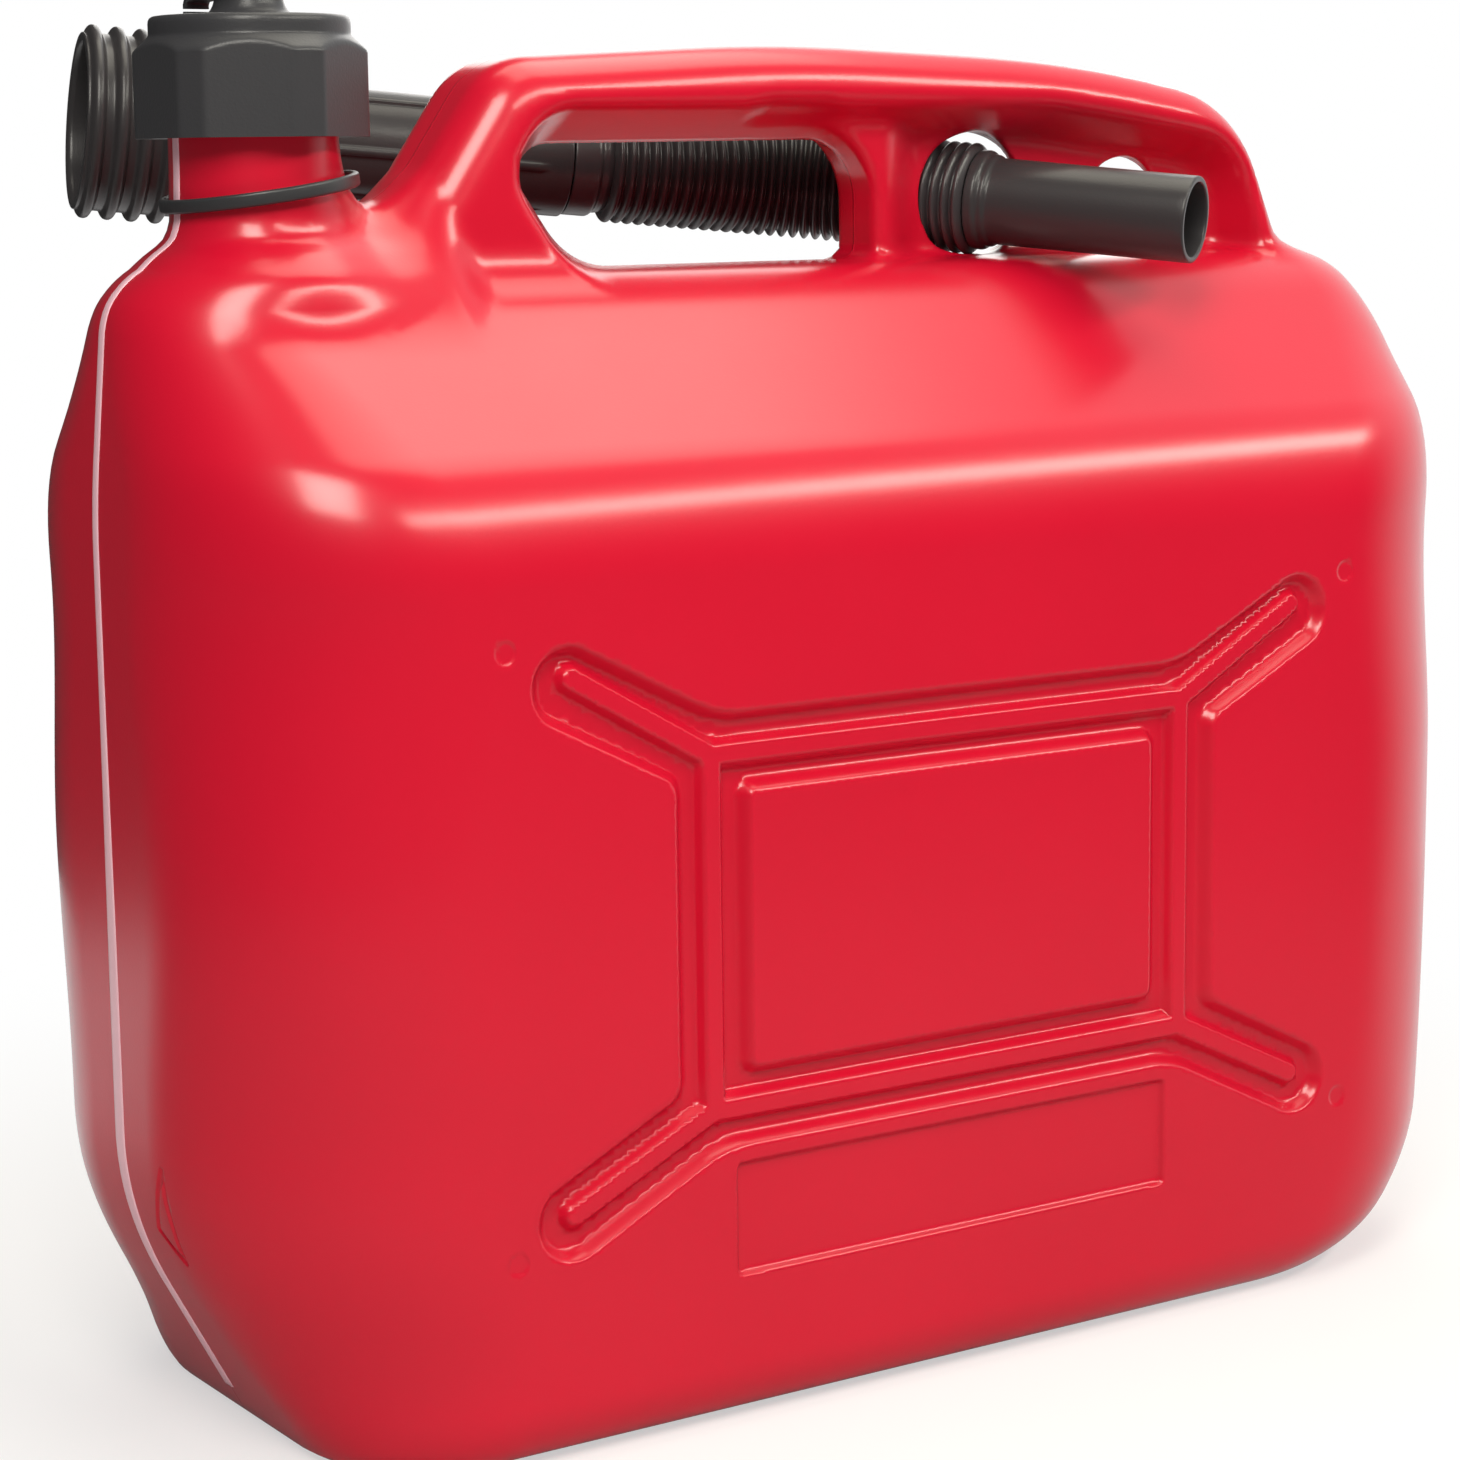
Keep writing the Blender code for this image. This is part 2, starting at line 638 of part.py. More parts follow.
def make_emboss(side, collection):
    """Cutter for one panel: channels round a raised frame with four arms, and the plate under it."""

    def block(name, outline, depth):
        return panel_block(name, side, outline, depth, collection)

    half_channel = FRAME_CHANNEL_WIDTH / 2
    half_rib = RIB_WIDTH / 2
    keep_depth = EMBOSS_DEPTH + CUT_OVERRUN
    channel = make_channel("channel", side, 0, EMBOSS_DEPTH, collection)
    panel = block("panel", box(RIB_HALF_LENGTH - half_channel, RIB_LOW_Z + half_channel,
                               RIB_HIGH_Z - half_channel), keep_depth)
    boolean(channel, as_guide(panel), "DIFFERENCE")
    rib = block("rib", box(RIB_HALF_LENGTH + half_rib, RIB_LOW_Z - half_rib, RIB_HIGH_Z + half_rib), keep_depth)
    inner = block("rib_inner", box(RIB_HALF_LENGTH - half_rib, RIB_LOW_Z + half_rib, RIB_HIGH_Z - half_rib),
                  keep_depth + CUT_OVERRUN)
    inner.location.y = side * CUT_OVERRUN / 2
    boolean(rib, as_guide(inner), "DIFFERENCE")
    for i, (start, end) in enumerate(panel_arms()):
        arm = block(f"arm_{i}", capsule(start, end, RIB_WIDTH), keep_depth)
        boolean(rib, as_guide(arm), "UNION")
    boolean(channel, as_guide(applied(rib)), "DIFFERENCE")
    plate = block("plate", box(PLATE_HALF_LENGTH, PLATE_LOW_Z, PLATE_HIGH_Z), PLATE_DEPTH)
    return as_guide(applied(channel)), as_guide(plate)


# Sight stripe

def stripe_path():
    """Outer line of the neck end in the parting plane, from the neck down to the foot."""
    line = [(NECK_X - NECK_RADIUS, STRIPE_TOP_Z)]
    levels = [z for z in reversed(tank_levels()) if z > STRIPE_FOOT_Z]
    mound = [(NECK_X - radius, z) for radius, z in neck_foot()]

    def tank_x(z):
        pairs = sorted((level, -end_reach(level, -1)) for level in tank_levels())
        for (z0, x0), (z1, x1) in zip(pairs, pairs[1:]):
            if z0 <= z <= z1:
                return x0 + (x1 - x0) * (z - z0) / (z1 - z0)
        return -end_reach(TANK_TOP_Z, -1)

    for x, z in mound:
        if z > TANK_TOP_Z or x < tank_x(z):
            line.append((x, z))
    low = min(z for _, z in line)
    reach = min(x for x, _ in line)
    line += [(tank_x(z), z) for z in levels if z < low and tank_x(z) < reach]
    line.append((tank_x(STRIPE_FOOT_Z), STRIPE_FOOT_Z))
    return [Vector(point) for point in line]


def stripe_outline(depth, lift):
    """Closed outline between the end's outer line and a line sunk under it."""
    path = stripe_path()
    normals = []
    for i, point in enumerate(path):
        before = path[max(i - 1, 0)]
        after = path[min(i + 1, len(path) - 1)]
        along = (after - before).normalized()
        normals.append(Vector((along.y, -along.x)))
    outer = [point + normal * lift for point, normal in zip(path, normals)]
    inner = [point - normal * depth for point, normal in zip(path, normals)]
    return outer + list(reversed(inner))


# Round parts

def make_cap(collection, material):
    """Screw cap: twelve-sided skirt under a coned shoulder, round top disc, boss and stud."""
    profile = [
        (0, BOSS_TOP_Z + TETHER_THICKNESS + 2 * SEAT_GAP + STUD_HEAD_HEIGHT),
        (STUD_HEAD_RADIUS - CAP_EDGE_RADIUS, BOSS_TOP_Z + TETHER_THICKNESS + 2 * SEAT_GAP + STUD_HEAD_HEIGHT),
        (STUD_HEAD_RADIUS, BOSS_TOP_Z + TETHER_THICKNESS + 2 * SEAT_GAP + CAP_EDGE_RADIUS / 2),
        (STUD_HEAD_RADIUS, BOSS_TOP_Z + TETHER_THICKNESS + 2 * SEAT_GAP),
        (STUD_RADIUS, BOSS_TOP_Z + TETHER_THICKNESS + 2 * SEAT_GAP),
        (STUD_RADIUS, BOSS_TOP_Z),
        (BOSS_TOP_RADIUS, BOSS_TOP_Z),
    ]
    flank = BOSS_FOOT_RADIUS - BOSS_TOP_RADIUS
    for i in range(1, 4):
        angle = math.pi / 2 * i / 3
        profile.append((BOSS_TOP_RADIUS + flank * (1 - math.cos(angle)),
                        BOSS_TOP_Z - (BOSS_TOP_Z - CAP_TOP_Z) * math.sin(angle)))
    profile += [
        (CAP_DISC_RADIUS - CAP_EDGE_RADIUS, CAP_TOP_Z),
        (CAP_DISC_RADIUS, CAP_TOP_Z - CAP_EDGE_RADIUS),
        (CAP_DISC_RADIUS, CAP_DISC_Z),
        (CAP_SKIRT_RADIUS + SEAT_GAP, CAP_SHOULDER_Z),
        (CAP_SKIRT_RADIUS + SEAT_GAP, CAP_BOTTOM_Z),
        (0, CAP_BOTTOM_Z),
    ]
    cap = turned("screw_cap", profile, TURN_STEPS, collection, material)
    turn = math.tau / CAP_FACES
    lead = math.asin(CAP_FACE_HALF_WIDTH / CAP_SKIRT_RADIUS)
    ring = []
    for i in range(CAP_FACES):
        for angle in (turn * i - lead, turn * i + lead):
            ring.append((CAP_SKIRT_RADIUS * math.cos(angle), CAP_SKIRT_RADIUS * math.sin(angle)))
    head_top = BOSS_TOP_Z + TETHER_THICKNESS + STUD_HEAD_HEIGHT + CUT_OVERRUN
    sides = loft("cap_sides", [[(x, y, z) for x, y in ring] for z in (CAP_BOTTOM_Z - CUT_OVERRUN, head_top)],
                 cutters)
    sides.rotation_euler.z = CAP_TURN
    bore = [(0, CAP_CEILING_Z), (CAP_BORE_RADIUS, CAP_CEILING_Z), (CAP_BORE_RADIUS, CAP_BOTTOM_Z - CUT_OVERRUN),
            (0, CAP_BOTTOM_Z - CUT_OVERRUN)]
    hollow = turned("cap_hollow", bore, TURN_STEPS, cutters)
    for thing in (cap, sides, hollow):
        thing.location.x = NECK_X
    boolean(cap, as_guide(sides), "INTERSECT")
    boolean(cap, as_guide(hollow), "DIFFERENCE")
    return cap


def ring_profile(inner, outer, low, high):
    """Rectangular section of a flat ring, outer side first."""
    return [(outer, high), (outer, low), (inner, low), (inner, high)]


def make_seal(collection, material):
    """Flat gasket between the cap's ceiling and the neck's rim."""
    profile = ring_profile(SEAL_INNER_RADIUS, CAP_BORE_RADIUS - SEAT_GAP, NECK_TOP_Z + SEAT_GAP,
                           CAP_CEILING_Z - SEAT_GAP)
    seal = turned("cap_seal", profile, SMALL_TURN_STEPS, collection, material)
    seal.location.x = NECK_X
    return seal


def make_tether(collection, material):
    """Ring round the neck with its strap, which stands up behind the cap."""
    half = TETHER_THICKNESS / 2
    outer = TETHER_RING_RADIUS + TETHER_RING_WIDTH
    profile = ring_profile(TETHER_RING_RADIUS, outer, -TETHER_RING_HEIGHT / 2, TETHER_RING_HEIGHT / 2)
    ring = turned("cap_tether", profile, TURN_STEPS, collection, material)
    ring.rotation_euler.y = -TETHER_TILT
    ring.location = (NECK_X + TETHER_RING_SHIFT, 0, TETHER_RING_Z)
    inner_y = CAP_SKIRT_RADIUS + STRAP_CLEARANCE
    root_y = outer - TETHER_RING_WIDTH / 2
    root_z = TETHER_RING_Z + half - SEAT_GAP
    top_z = BOSS_TOP_Z - TETHER_THICKNESS
    line = [
        Vector((root_y, root_z - TETHER_THICKNESS)),
        Vector((inner_y + half, root_z + TETHER_THICKNESS)),
        Vector((inner_y + half, top_z)),
    ]
    strap = strip("strap", line, TETHER_THICKNESS, STRAP_WIDTH, cutters)
    strap.location.x = NECK_X + TETHER_RING_SHIFT
    boolean(ring, as_guide(strap), "UNION")
    return ring


def strip(name, line, thickness, width, collection):
    """Flat strap of even thickness along a line of (y, z) points."""
    left = []
    right = []
    for i, point in enumerate(line):
        before = line[max(i - 1, 0)]
        after = line[min(i + 1, len(line) - 1)]
        into = (point - before).normalized() if i else (after - point).normalized()
        out = (after - point).normalized() if i < len(line) - 1 else into
        middle = (into + out).normalized()
        reach = thickness / 2 / max(middle.dot(into), 0.5)
        normal = Vector((-middle.y, middle.x)) * reach
        left.append(point + normal)
        right.append(point - normal)
    outline = left + list(reversed(right))
    rings = [[(x, y, z) for y, z in outline] for x in (-width / 2, width / 2)]
    return loft(name, rings, collection)


def make_eye(collection, material):
    """Eye of the tether on the cap's stud, with the tab that reaches back to the strap."""
    low = BOSS_TOP_Z + SEAT_GAP
    high = low + TETHER_THICKNESS
    inner = STUD_RADIUS + SEAT_GAP
    eye = turned("tether_eye", ring_profile(inner, inner + EYE_WIDTH, low, high), SMALL_TURN_STEPS, collection,
                 material)
    eye.location.x = NECK_X
    back = CAP_SKIRT_RADIUS + STRAP_CLEARANCE + TETHER_THICKNESS / 2
    line = [
        Vector((inner + EYE_WIDTH / 2, (low + high) / 2)),
        Vector((back, (low + high) / 2)),
        Vector((back, BOSS_TOP_Z - TETHER_THICKNESS + SEAT_GAP)),
    ]
    tab = strip("eye_tab", line, TETHER_THICKNESS, STRAP_WIDTH, cutters)
    tab.location.x = NECK_X + TETHER_RING_SHIFT
    boolean(eye, as_guide(tab), "UNION")
    return eye


# Spout

def heading_vector(heading):
    """Unit vector along the spout for a heading in plan, falling at the spout's pitch."""
    level = math.cos(SPOUT_PITCH)
    return Vector((math.cos(heading) * level, -math.sin(heading) * level, -math.sin(SPOUT_PITCH)))


CROSSING = Vector((SPOUT_HOLE_X, 0, SPOUT_CROSSING_Z))
BEND_ANGLE = NOZZLE_HEADING - BASE_HEADING
BEND_LENGTH = HOSE_BEND_RADIUS * BEND_ANGLE
BEND_END = CROSSING - heading_vector(NOZZLE_HEADING) * HOSE_END_RUN


def bend_point(run):
    """Point on the bend, a run back from its end, and the direction there."""
    heading = NOZZLE_HEADING - run / HOSE_BEND_RADIUS
    level = HOSE_BEND_RADIUS * math.cos(SPOUT_PITCH)
    x = BEND_END.x - level * (math.sin(NOZZLE_HEADING) - math.sin(heading))
    y = BEND_END.y + level * (math.cos(heading) - math.cos(NOZZLE_HEADING))
    return Vector((x, y, BEND_END.z + run * math.sin(SPOUT_PITCH)))


BEND_START = bend_point(BEND_LENGTH)
BELLOWS_START = BEND_START - heading_vector(BASE_HEADING) * HOSE_START_RUN
BASE_END = BELLOWS_START - heading_vector(BASE_HEADING) * CUFF_LENGTH
MOUTH = BASE_END - heading_vector(BASE_HEADING) * (MOUTH_LENGTH + CONE_LENGTH + TUBE_LENGTH)
BELLOWS_LENGTH = HOSE_START_RUN + BEND_LENGTH + HOSE_END_RUN + HOSE_PAST_WEB


def hose_point(run):
    """Point on the hose's centre line, a run on from the first rib."""
    if run <= HOSE_START_RUN:
        return BELLOWS_START + heading_vector(BASE_HEADING) * run
    if run < HOSE_START_RUN + BEND_LENGTH:
        return bend_point(HOSE_START_RUN + BEND_LENGTH - run)
    return BEND_END + heading_vector(NOZZLE_HEADING) * (run - HOSE_START_RUN - BEND_LENGTH)


def tube(name, points, radii, collection, material=None):
    """Round tube through points with a radius at each, made a mesh with welded caps."""
    curve = bpy.data.curves.new(name, "CURVE")
    curve.dimensions = "3D"
    curve.bevel_depth = 1.0
    curve.bevel_resolution = TUBE_ROUNDNESS
    curve.use_fill_caps = True
    spline = curve.splines.new("POLY")
    spline.points.add(len(points) - 1)
    for target, point, radius in zip(spline.points, points, radii):
        target.co = (*point, 1.0)
        target.radius = radius
    guide = object_from(name, curve, collection)
    bpy.context.view_layer.update()
    evaluated = guide.evaluated_get(bpy.context.evaluated_depsgraph_get())
    mesh = bpy.data.meshes.new_from_object(evaluated)
    shape = bmesh.new()
    shape.from_mesh(mesh)
    bmesh.ops.remove_doubles(shape, verts=shape.verts, dist=MERGE)
    bmesh.ops.recalc_face_normals(shape, faces=shape.faces)
    shape.to_mesh(mesh)
    shape.free()
    made = object_from(name, mesh, collection, material)
    made.matrix_world = guide.matrix_world
    bpy.data.objects.remove(guide)
    made.name = name
    return made


def place_on_axis(thing, start, heading):
    """Stand a part turned round +Z on the spout's axis, pointing the way of flow."""
    thing.rotation_mode = "QUATERNION"
    thing.rotation_quaternion = Vector((0, 0, 1)).rotation_difference(heading_vector(heading))
    thing.location = start


def make_fin(name, angle, cone_end, tube_end, collection):
    """Fin along the spout's tube: it grows out of the cone and slopes down before the hose."""
    root = TUBE_RADIUS - TUBE_WALL / 2
    crest = TUBE_RADIUS + FIN_HEIGHT
    end = tube_end - FIN_END_RUN
    levels = ((cone_end - CONE_LENGTH / 4, crest), (end - 2 * FIN_HEIGHT, crest), (end, TUBE_RADIUS - SEAT_GAP))
    turn = Matrix.Rotation(angle, 3, "Z")
    rings = []
    for height, outer in levels:
        section = ((root, -1), (outer, -1), (outer, 1), (root, 1))
        rings.append([turn @ Vector((radius, side * FIN_WIDTH / 2, height)) for radius, side in section])
    fin = loft(name, rings, collection)
    place_on_axis(fin, MOUTH, BASE_HEADING)
    return fin


def make_spout_base(collection, material):
    """Threaded mouth, cone and finned tube in one shell; heights run from the mouth to the hose."""
    outer = [(MOUTH_ROOT_RADIUS, 0)]
    rise = MOUTH_CREST_RADIUS - MOUTH_ROOT_RADIUS
    for i in range(MOUTH_RIDGES):
        foot = MOUTH_RIDGE_PITCH * (i + 1 / 8)
        for share, lift in ((0, 0), (1 / 6, 1), (1 / 2, 1), (2 / 3, 0)):
            outer.append((MOUTH_ROOT_RADIUS + rise * lift, foot + MOUTH_RIDGE_PITCH * share))
    cone_end = MOUTH_LENGTH + CONE_LENGTH
    tube_end = cone_end + TUBE_LENGTH
    spigot_radius = CUFF_RADIUS - CUFF_WALL - SPIGOT_GAP
    outer += [
        (MOUTH_ROOT_RADIUS, MOUTH_LENGTH),
        (TUBE_RADIUS, cone_end),
        (TUBE_RADIUS, tube_end - SEAT_GAP),
        (spigot_radius, tube_end - SEAT_GAP),
        (spigot_radius, tube_end + SPIGOT_LENGTH),
    ]
    shelf = MOUTH_LENGTH
    inner = [
        (spigot_radius - SPIGOT_WALL, tube_end + SPIGOT_LENGTH),
        (spigot_radius - SPIGOT_WALL, tube_end - TUBE_WALL),
        (TUBE_RADIUS - TUBE_WALL, tube_end - 2 * TUBE_WALL),
        (TUBE_RADIUS - TUBE_WALL, cone_end),
        (WASHER_INNER_RADIUS, shelf + TUBE_WALL),
        (WASHER_INNER_RADIUS, shelf),
        (MOUTH_ROOT_RADIUS - MOUTH_WALL, shelf),
        (MOUTH_ROOT_RADIUS - MOUTH_WALL, 0),
    ]
    profile = list(reversed(outer)) + list(reversed(inner))
    base = turned("spout_base", profile, TURN_STEPS, collection, material)
    place_on_axis(base, MOUTH, BASE_HEADING)
    for i in range(TUBE_FINS):
        fin = make_fin(f"fin_{i}", math.tau * i / TUBE_FINS + FIN_TURN, cone_end, tube_end, cutters)
        boolean(base, as_guide(fin), "UNION")
    return base


def make_washer(collection, material):
    """Flat washer on the shelf inside the threaded mouth."""
    shelf = MOUTH_LENGTH - SEAT_GAP
    profile = ring_profile(WASHER_INNER_RADIUS, MOUTH_ROOT_RADIUS - MOUTH_WALL - SEAT_GAP,
                           shelf - WASHER_THICKNESS, shelf)
    washer = turned("spout_washer", profile, SMALL_TURN_STEPS, collection, material)
    place_on_axis(washer, MOUTH, BASE_HEADING)
    return washer


def make_hose(collection, material):
    """Ribbed hose: a plain cuff, then ribs of two points each along the bend."""
    flow = heading_vector(BASE_HEADING)
    points = [BASE_END, BELLOWS_START - flow * HOSE_GROOVE_DEPTH]
    radii = [CUFF_RADIUS, CUFF_RADIUS]
    step = BELLOWS_LENGTH / (2 * HOSE_RIBS)
    for i in range(2 * HOSE_RIBS + 1):
        points.append(hose_point(step * i))
        radii.append(HOSE_RADIUS if i % 2 else HOSE_RADIUS - HOSE_GROOVE_DEPTH)
    hose = tube("spout_hose", points, radii, collection, material)
    line = [BASE_END - flow * CUT_OVERRUN]
    line.append(BASE_END + flow * SPIGOT_LENGTH)
    bore_radii = [CUFF_RADIUS - CUFF_WALL] * 2
    line.append(BASE_END + flow * CUFF_LENGTH)
    bore_radii.append(HOSE_BORE_RADIUS)
    for i in range(1, ARC_STEPS * 2):
        line.append(hose_point(BELLOWS_LENGTH * i / (ARC_STEPS * 2)))
        bore_radii.append(HOSE_BORE_RADIUS)
    line.append(hose_point(BELLOWS_LENGTH + CUT_OVERRUN))
    bore_radii.append(HOSE_BORE_RADIUS)
    bore = tube("hose_bore", line, bore_radii, cutters)
    boolean(hose, as_guide(bore), "DIFFERENCE")
    return hose


def make_nozzle(collection, material):
    """Plain pouring tube with a flange against the hose and a spigot inside it."""
    spigot_radius = HOSE_BORE_RADIUS - SPIGOT_GAP
    bore = spigot_radius - NOZZLE_WALL
    profile = [
        (NOZZLE_RADIUS, NOZZLE_LENGTH),
        (NOZZLE_RADIUS, NOZZLE_FLANGE),
        (NOZZLE_FLANGE_RADIUS, NOZZLE_FLANGE),
        (NOZZLE_FLANGE_RADIUS, 0),
        (spigot_radius, 0),
        (spigot_radius, -NOZZLE_SPIGOT),
        (bore, -NOZZLE_SPIGOT),
        (bore, NOZZLE_FLANGE),
        (NOZZLE_RADIUS - NOZZLE_WALL, 2 * NOZZLE_FLANGE),
        (NOZZLE_RADIUS - NOZZLE_WALL, NOZZLE_LENGTH),
    ]
    nozzle = turned("spout_nozzle", profile, SMALL_TURN_STEPS, collection, material)
    start = CROSSING + heading_vector(NOZZLE_HEADING) * (HOSE_PAST_WEB + SEAT_GAP)
    place_on_axis(nozzle, start, NOZZLE_HEADING)
    return nozzle


# Body

def make_body(collection, material):
    """Tank, neck and handle in one moulded shell, hollow inside, with its panels and stripe groove."""
    body = make_tank("can_body", 0, collection)
    body.data.materials.append(material)
    boolean(body, as_guide(make_neck("neck", cutters)), "UNION")
    boolean(body, make_handle(cutters), "UNION")
    hollow = make_tank("tank_hollow", TANK_WALL, cutters)
    for side in (-1, 1):
        relief = make_channel("relief", side, TANK_WALL, EMBOSS_DEPTH + TANK_WALL, cutters)
        boolean(hollow, as_guide(applied(relief)), "DIFFERENCE")
    boolean(body, as_guide(applied(hollow)), "DIFFERENCE")
    low = TANK_TOP_Z - 2 * FAR_END_TOP_RADIUS
    bore_radius = NECK_RADIUS - NECK_WALL
    bore = [(0, NECK_TOP_Z + CUT_OVERRUN), (bore_radius, NECK_TOP_Z + CUT_OVERRUN), (bore_radius, low), (0, low)]
    neck_bore = turned("neck_bore", bore, TURN_STEPS, cutters)
    neck_bore.location.x = NECK_X
    boolean(body, as_guide(neck_bore), "DIFFERENCE")
    for side in (-1, 1):
        channel, plate = make_emboss(side, cutters)
        boolean(body, channel, "DIFFERENCE")
        boolean(body, plate, "DIFFERENCE")
    groove = slab("stripe_groove", stripe_outline(STRIPE_DEPTH + SEAT_GAP, CUT_OVERRUN),
                  -STRIPE_WIDTH / 2 - SEAT_GAP, STRIPE_WIDTH / 2 + SEAT_GAP, cutters)
    boolean(body, as_guide(groove), "DIFFERENCE")
    return applied(body)


for leftover in list(bpy.data.objects):
    bpy.data.objects.remove(leftover)

parts = new_collection("fuel_can")
cutters = new_collection("cutters")
red = make_material("can_red", (0.60, 0.012, 0.028), 0.38)
clear = make_material("stripe_clear", (0.86, 0.56, 0.58), 0.42, alpha=0.85)
black = make_material("cap_black", DARK_PLASTIC, 0.42)
strap_black = make_material("tether_black", DARK_PLASTIC, 0.50)
hose_black = make_material("hose_black", DARK_PLASTIC, 0.36)
spout_black = make_material("spout_black", DARK_PLASTIC, 0.34)
rubber = make_material("seal_rubber", (0.05, 0.05, 0.05), 0.80)

make_body(parts, red)
slab("sight_stripe", stripe_outline(STRIPE_DEPTH, 0), -STRIPE_WIDTH / 2, STRIPE_WIDTH / 2, parts, clear)
make_cap(parts, black)
make_seal(parts, rubber)
make_tether(parts, strap_black)
make_eye(parts, strap_black)
make_spout_base(parts, spout_black)
make_washer(parts, rubber)
make_hose(parts, hose_black)
make_nozzle(parts, spout_black)
bpy.context.view_layer.update()
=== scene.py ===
# %% [markdown]
# # A ten litre fuel can
# The real can is one blow-moulded shell of red polyethylene. A black screw cap closes its neck, a tether keeps the
# cap on the can, and a pouring spout is stowed behind it with the nozzle pushed through a hole in the handle.
# The imported model gives every piece its place, so the first cell loads it.

# %% Load the frame
import math

import bmesh
import bpy
import numpy as np
from mathutils import Matrix, Vector


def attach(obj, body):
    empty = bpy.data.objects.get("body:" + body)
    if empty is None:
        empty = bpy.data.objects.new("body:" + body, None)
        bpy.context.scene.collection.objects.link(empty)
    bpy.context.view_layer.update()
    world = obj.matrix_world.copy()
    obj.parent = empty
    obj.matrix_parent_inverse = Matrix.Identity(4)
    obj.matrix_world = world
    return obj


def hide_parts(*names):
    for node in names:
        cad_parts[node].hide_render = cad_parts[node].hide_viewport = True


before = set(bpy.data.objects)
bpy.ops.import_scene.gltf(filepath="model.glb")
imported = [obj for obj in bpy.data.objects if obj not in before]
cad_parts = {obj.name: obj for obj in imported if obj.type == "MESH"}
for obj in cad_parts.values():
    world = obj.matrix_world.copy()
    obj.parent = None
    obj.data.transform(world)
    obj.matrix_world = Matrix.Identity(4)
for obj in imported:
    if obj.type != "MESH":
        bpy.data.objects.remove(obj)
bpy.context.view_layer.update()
MM = 0.001

# %% [markdown]
# ## The camera
# The photograph was taken from the front left, a little above the shoulder of the can, with a long lens. A camera is
# placed best by its three axes: where it looks, what is up and what is right. They are made from a heading, a pitch
# and a small roll, and then written into the camera's matrix as columns.

# %% Camera
FOCUS_PIXELS = 3500
FRAME_PIXELS = 1460
CAMERA_PLACE = (-466.2 * MM, -689.1 * MM, 276.0 * MM)
HEADING = math.radians(33.204)
PITCH = math.radians(9.195)
ROLL = math.radians(-0.702)

camera_data = bpy.data.cameras.new("camera")
camera_data.sensor_width = 36
camera_data.lens = camera_data.sensor_width * FOCUS_PIXELS / FRAME_PIXELS
camera = bpy.data.objects.new("camera", camera_data)
bpy.context.scene.collection.objects.link(camera)
level = Vector((math.sin(HEADING), math.cos(HEADING), 0))
side = Vector((math.cos(HEADING), -math.sin(HEADING), 0))
upright = Vector((0, 0, 1))
look = level * math.cos(PITCH) - upright * math.sin(PITCH)
above = upright * math.cos(PITCH) + level * math.sin(PITCH)
right = side * math.cos(ROLL) + above * math.sin(ROLL)
up = above * math.cos(ROLL) - side * math.sin(ROLL)
rows = zip(right, up, -look, CAMERA_PLACE)
camera.matrix_world = Matrix((*rows, (0, 0, 0, 1)))
bpy.context.scene.camera = camera
bpy.context.scene.view_settings.view_transform = "Standard"
print("lens", round(camera_data.lens, 1), "mm")

# %% [markdown]
# ## Light and floor
# Four soft lamps light the can. A wide one overhead lightens the shoulder and the handle. A long narrow one at the
# right of the camera draws the bright line along the crease, and a small one at the left makes the bright spot where
# the crease turns towards the neck. The fourth stands behind and lights the back and the spout. The room is white
# where it is seen directly, and in reflections it is bright only behind the can and to the right, so the red stays
# free of a pale veil. The floor takes the can's shadow and fades to white around it, so no horizon shows.

# %% Lamps, world and floor
LAMPS = {
    "right_lamp": ((0.44, -0.78, 0.86), (0, 0, 0.18), (1.25, 0.14), 8.6, (1.0, 0.97, 0.86)),
    "left_lamp": ((-0.48, -0.58, 0.84), (-0.05, 0, 0.18), (0.32, 0.48), 7, (1.0, 0.97, 0.88)),
    "top_lamp": ((0.25, 0.05, 1.35), (0, 0, 0.2), (0.9, 0.9), 8.5, (1.0, 0.95, 0.8)),
    "back_lamp": ((0.8, 1.2, 0.8), (0, 0, 0.15), (0.9, 0.9), 6, (1.0, 0.98, 0.94)),
}
ROOM_LIGHT = 0.16
DARKEST_MIRRORED = 0.05
FLOOR_RADIUS = 0.62
SHADOW_FADE = (0.12, 0.45, 0.55, 1.0)
FLOOR_MIRRORED = (-0.05, 0.12, 0.12, 0.9)
FLOOR_GLOSS_SHARE = 0.9

for name, (spot, target, (width, height), power, color) in LAMPS.items():
    data = bpy.data.lights.new(name, "AREA")
    data.shape = "RECTANGLE"
    data.size = width
    data.size_y = height
    data.energy = power
    data.color = color
    lamp = bpy.data.objects.new(name, data)
    bpy.context.scene.collection.objects.link(lamp)
    lamp.location = spot
    lamp.rotation_euler = (Vector(target) - Vector(spot)).to_track_quat("-Z", "Y").to_euler()


def put(tree, value, socket):
    """Link a socket to another, or write a value into it."""
    if isinstance(value, bpy.types.NodeSocket):
        tree.links.new(value, socket)
    else:
        socket.default_value = value


def node_math(tree, operation, *values):
    """Math node on sockets or numbers, and its output."""
    node = tree.nodes.new("ShaderNodeMath")
    node.operation = operation
    for value, socket in zip(values, node.inputs):
        put(tree, value, socket)
    return node.outputs[0]


def ranged(tree, value, start, end, low, high, ends="SMOOTHSTEP"):
    """Map Range node, and its output."""
    node = tree.nodes.new("ShaderNodeMapRange")
    node.interpolation_type = ends
    names = ("Value", "From Min", "From Max", "To Min", "To Max")
    for name, number in zip(names, (value, start, end, low, high)):
        put(tree, number, node.inputs[name])
    return node.outputs["Result"]


def rays_of(tree, *kinds):
    """One for rays of any of the named kinds."""
    rays = tree.nodes.new("ShaderNodeLightPath")
    share = rays.outputs[kinds[0]]
    for kind in kinds[1:]:
        share = node_math(tree, "MAXIMUM", share, rays.outputs[kind])
    return share


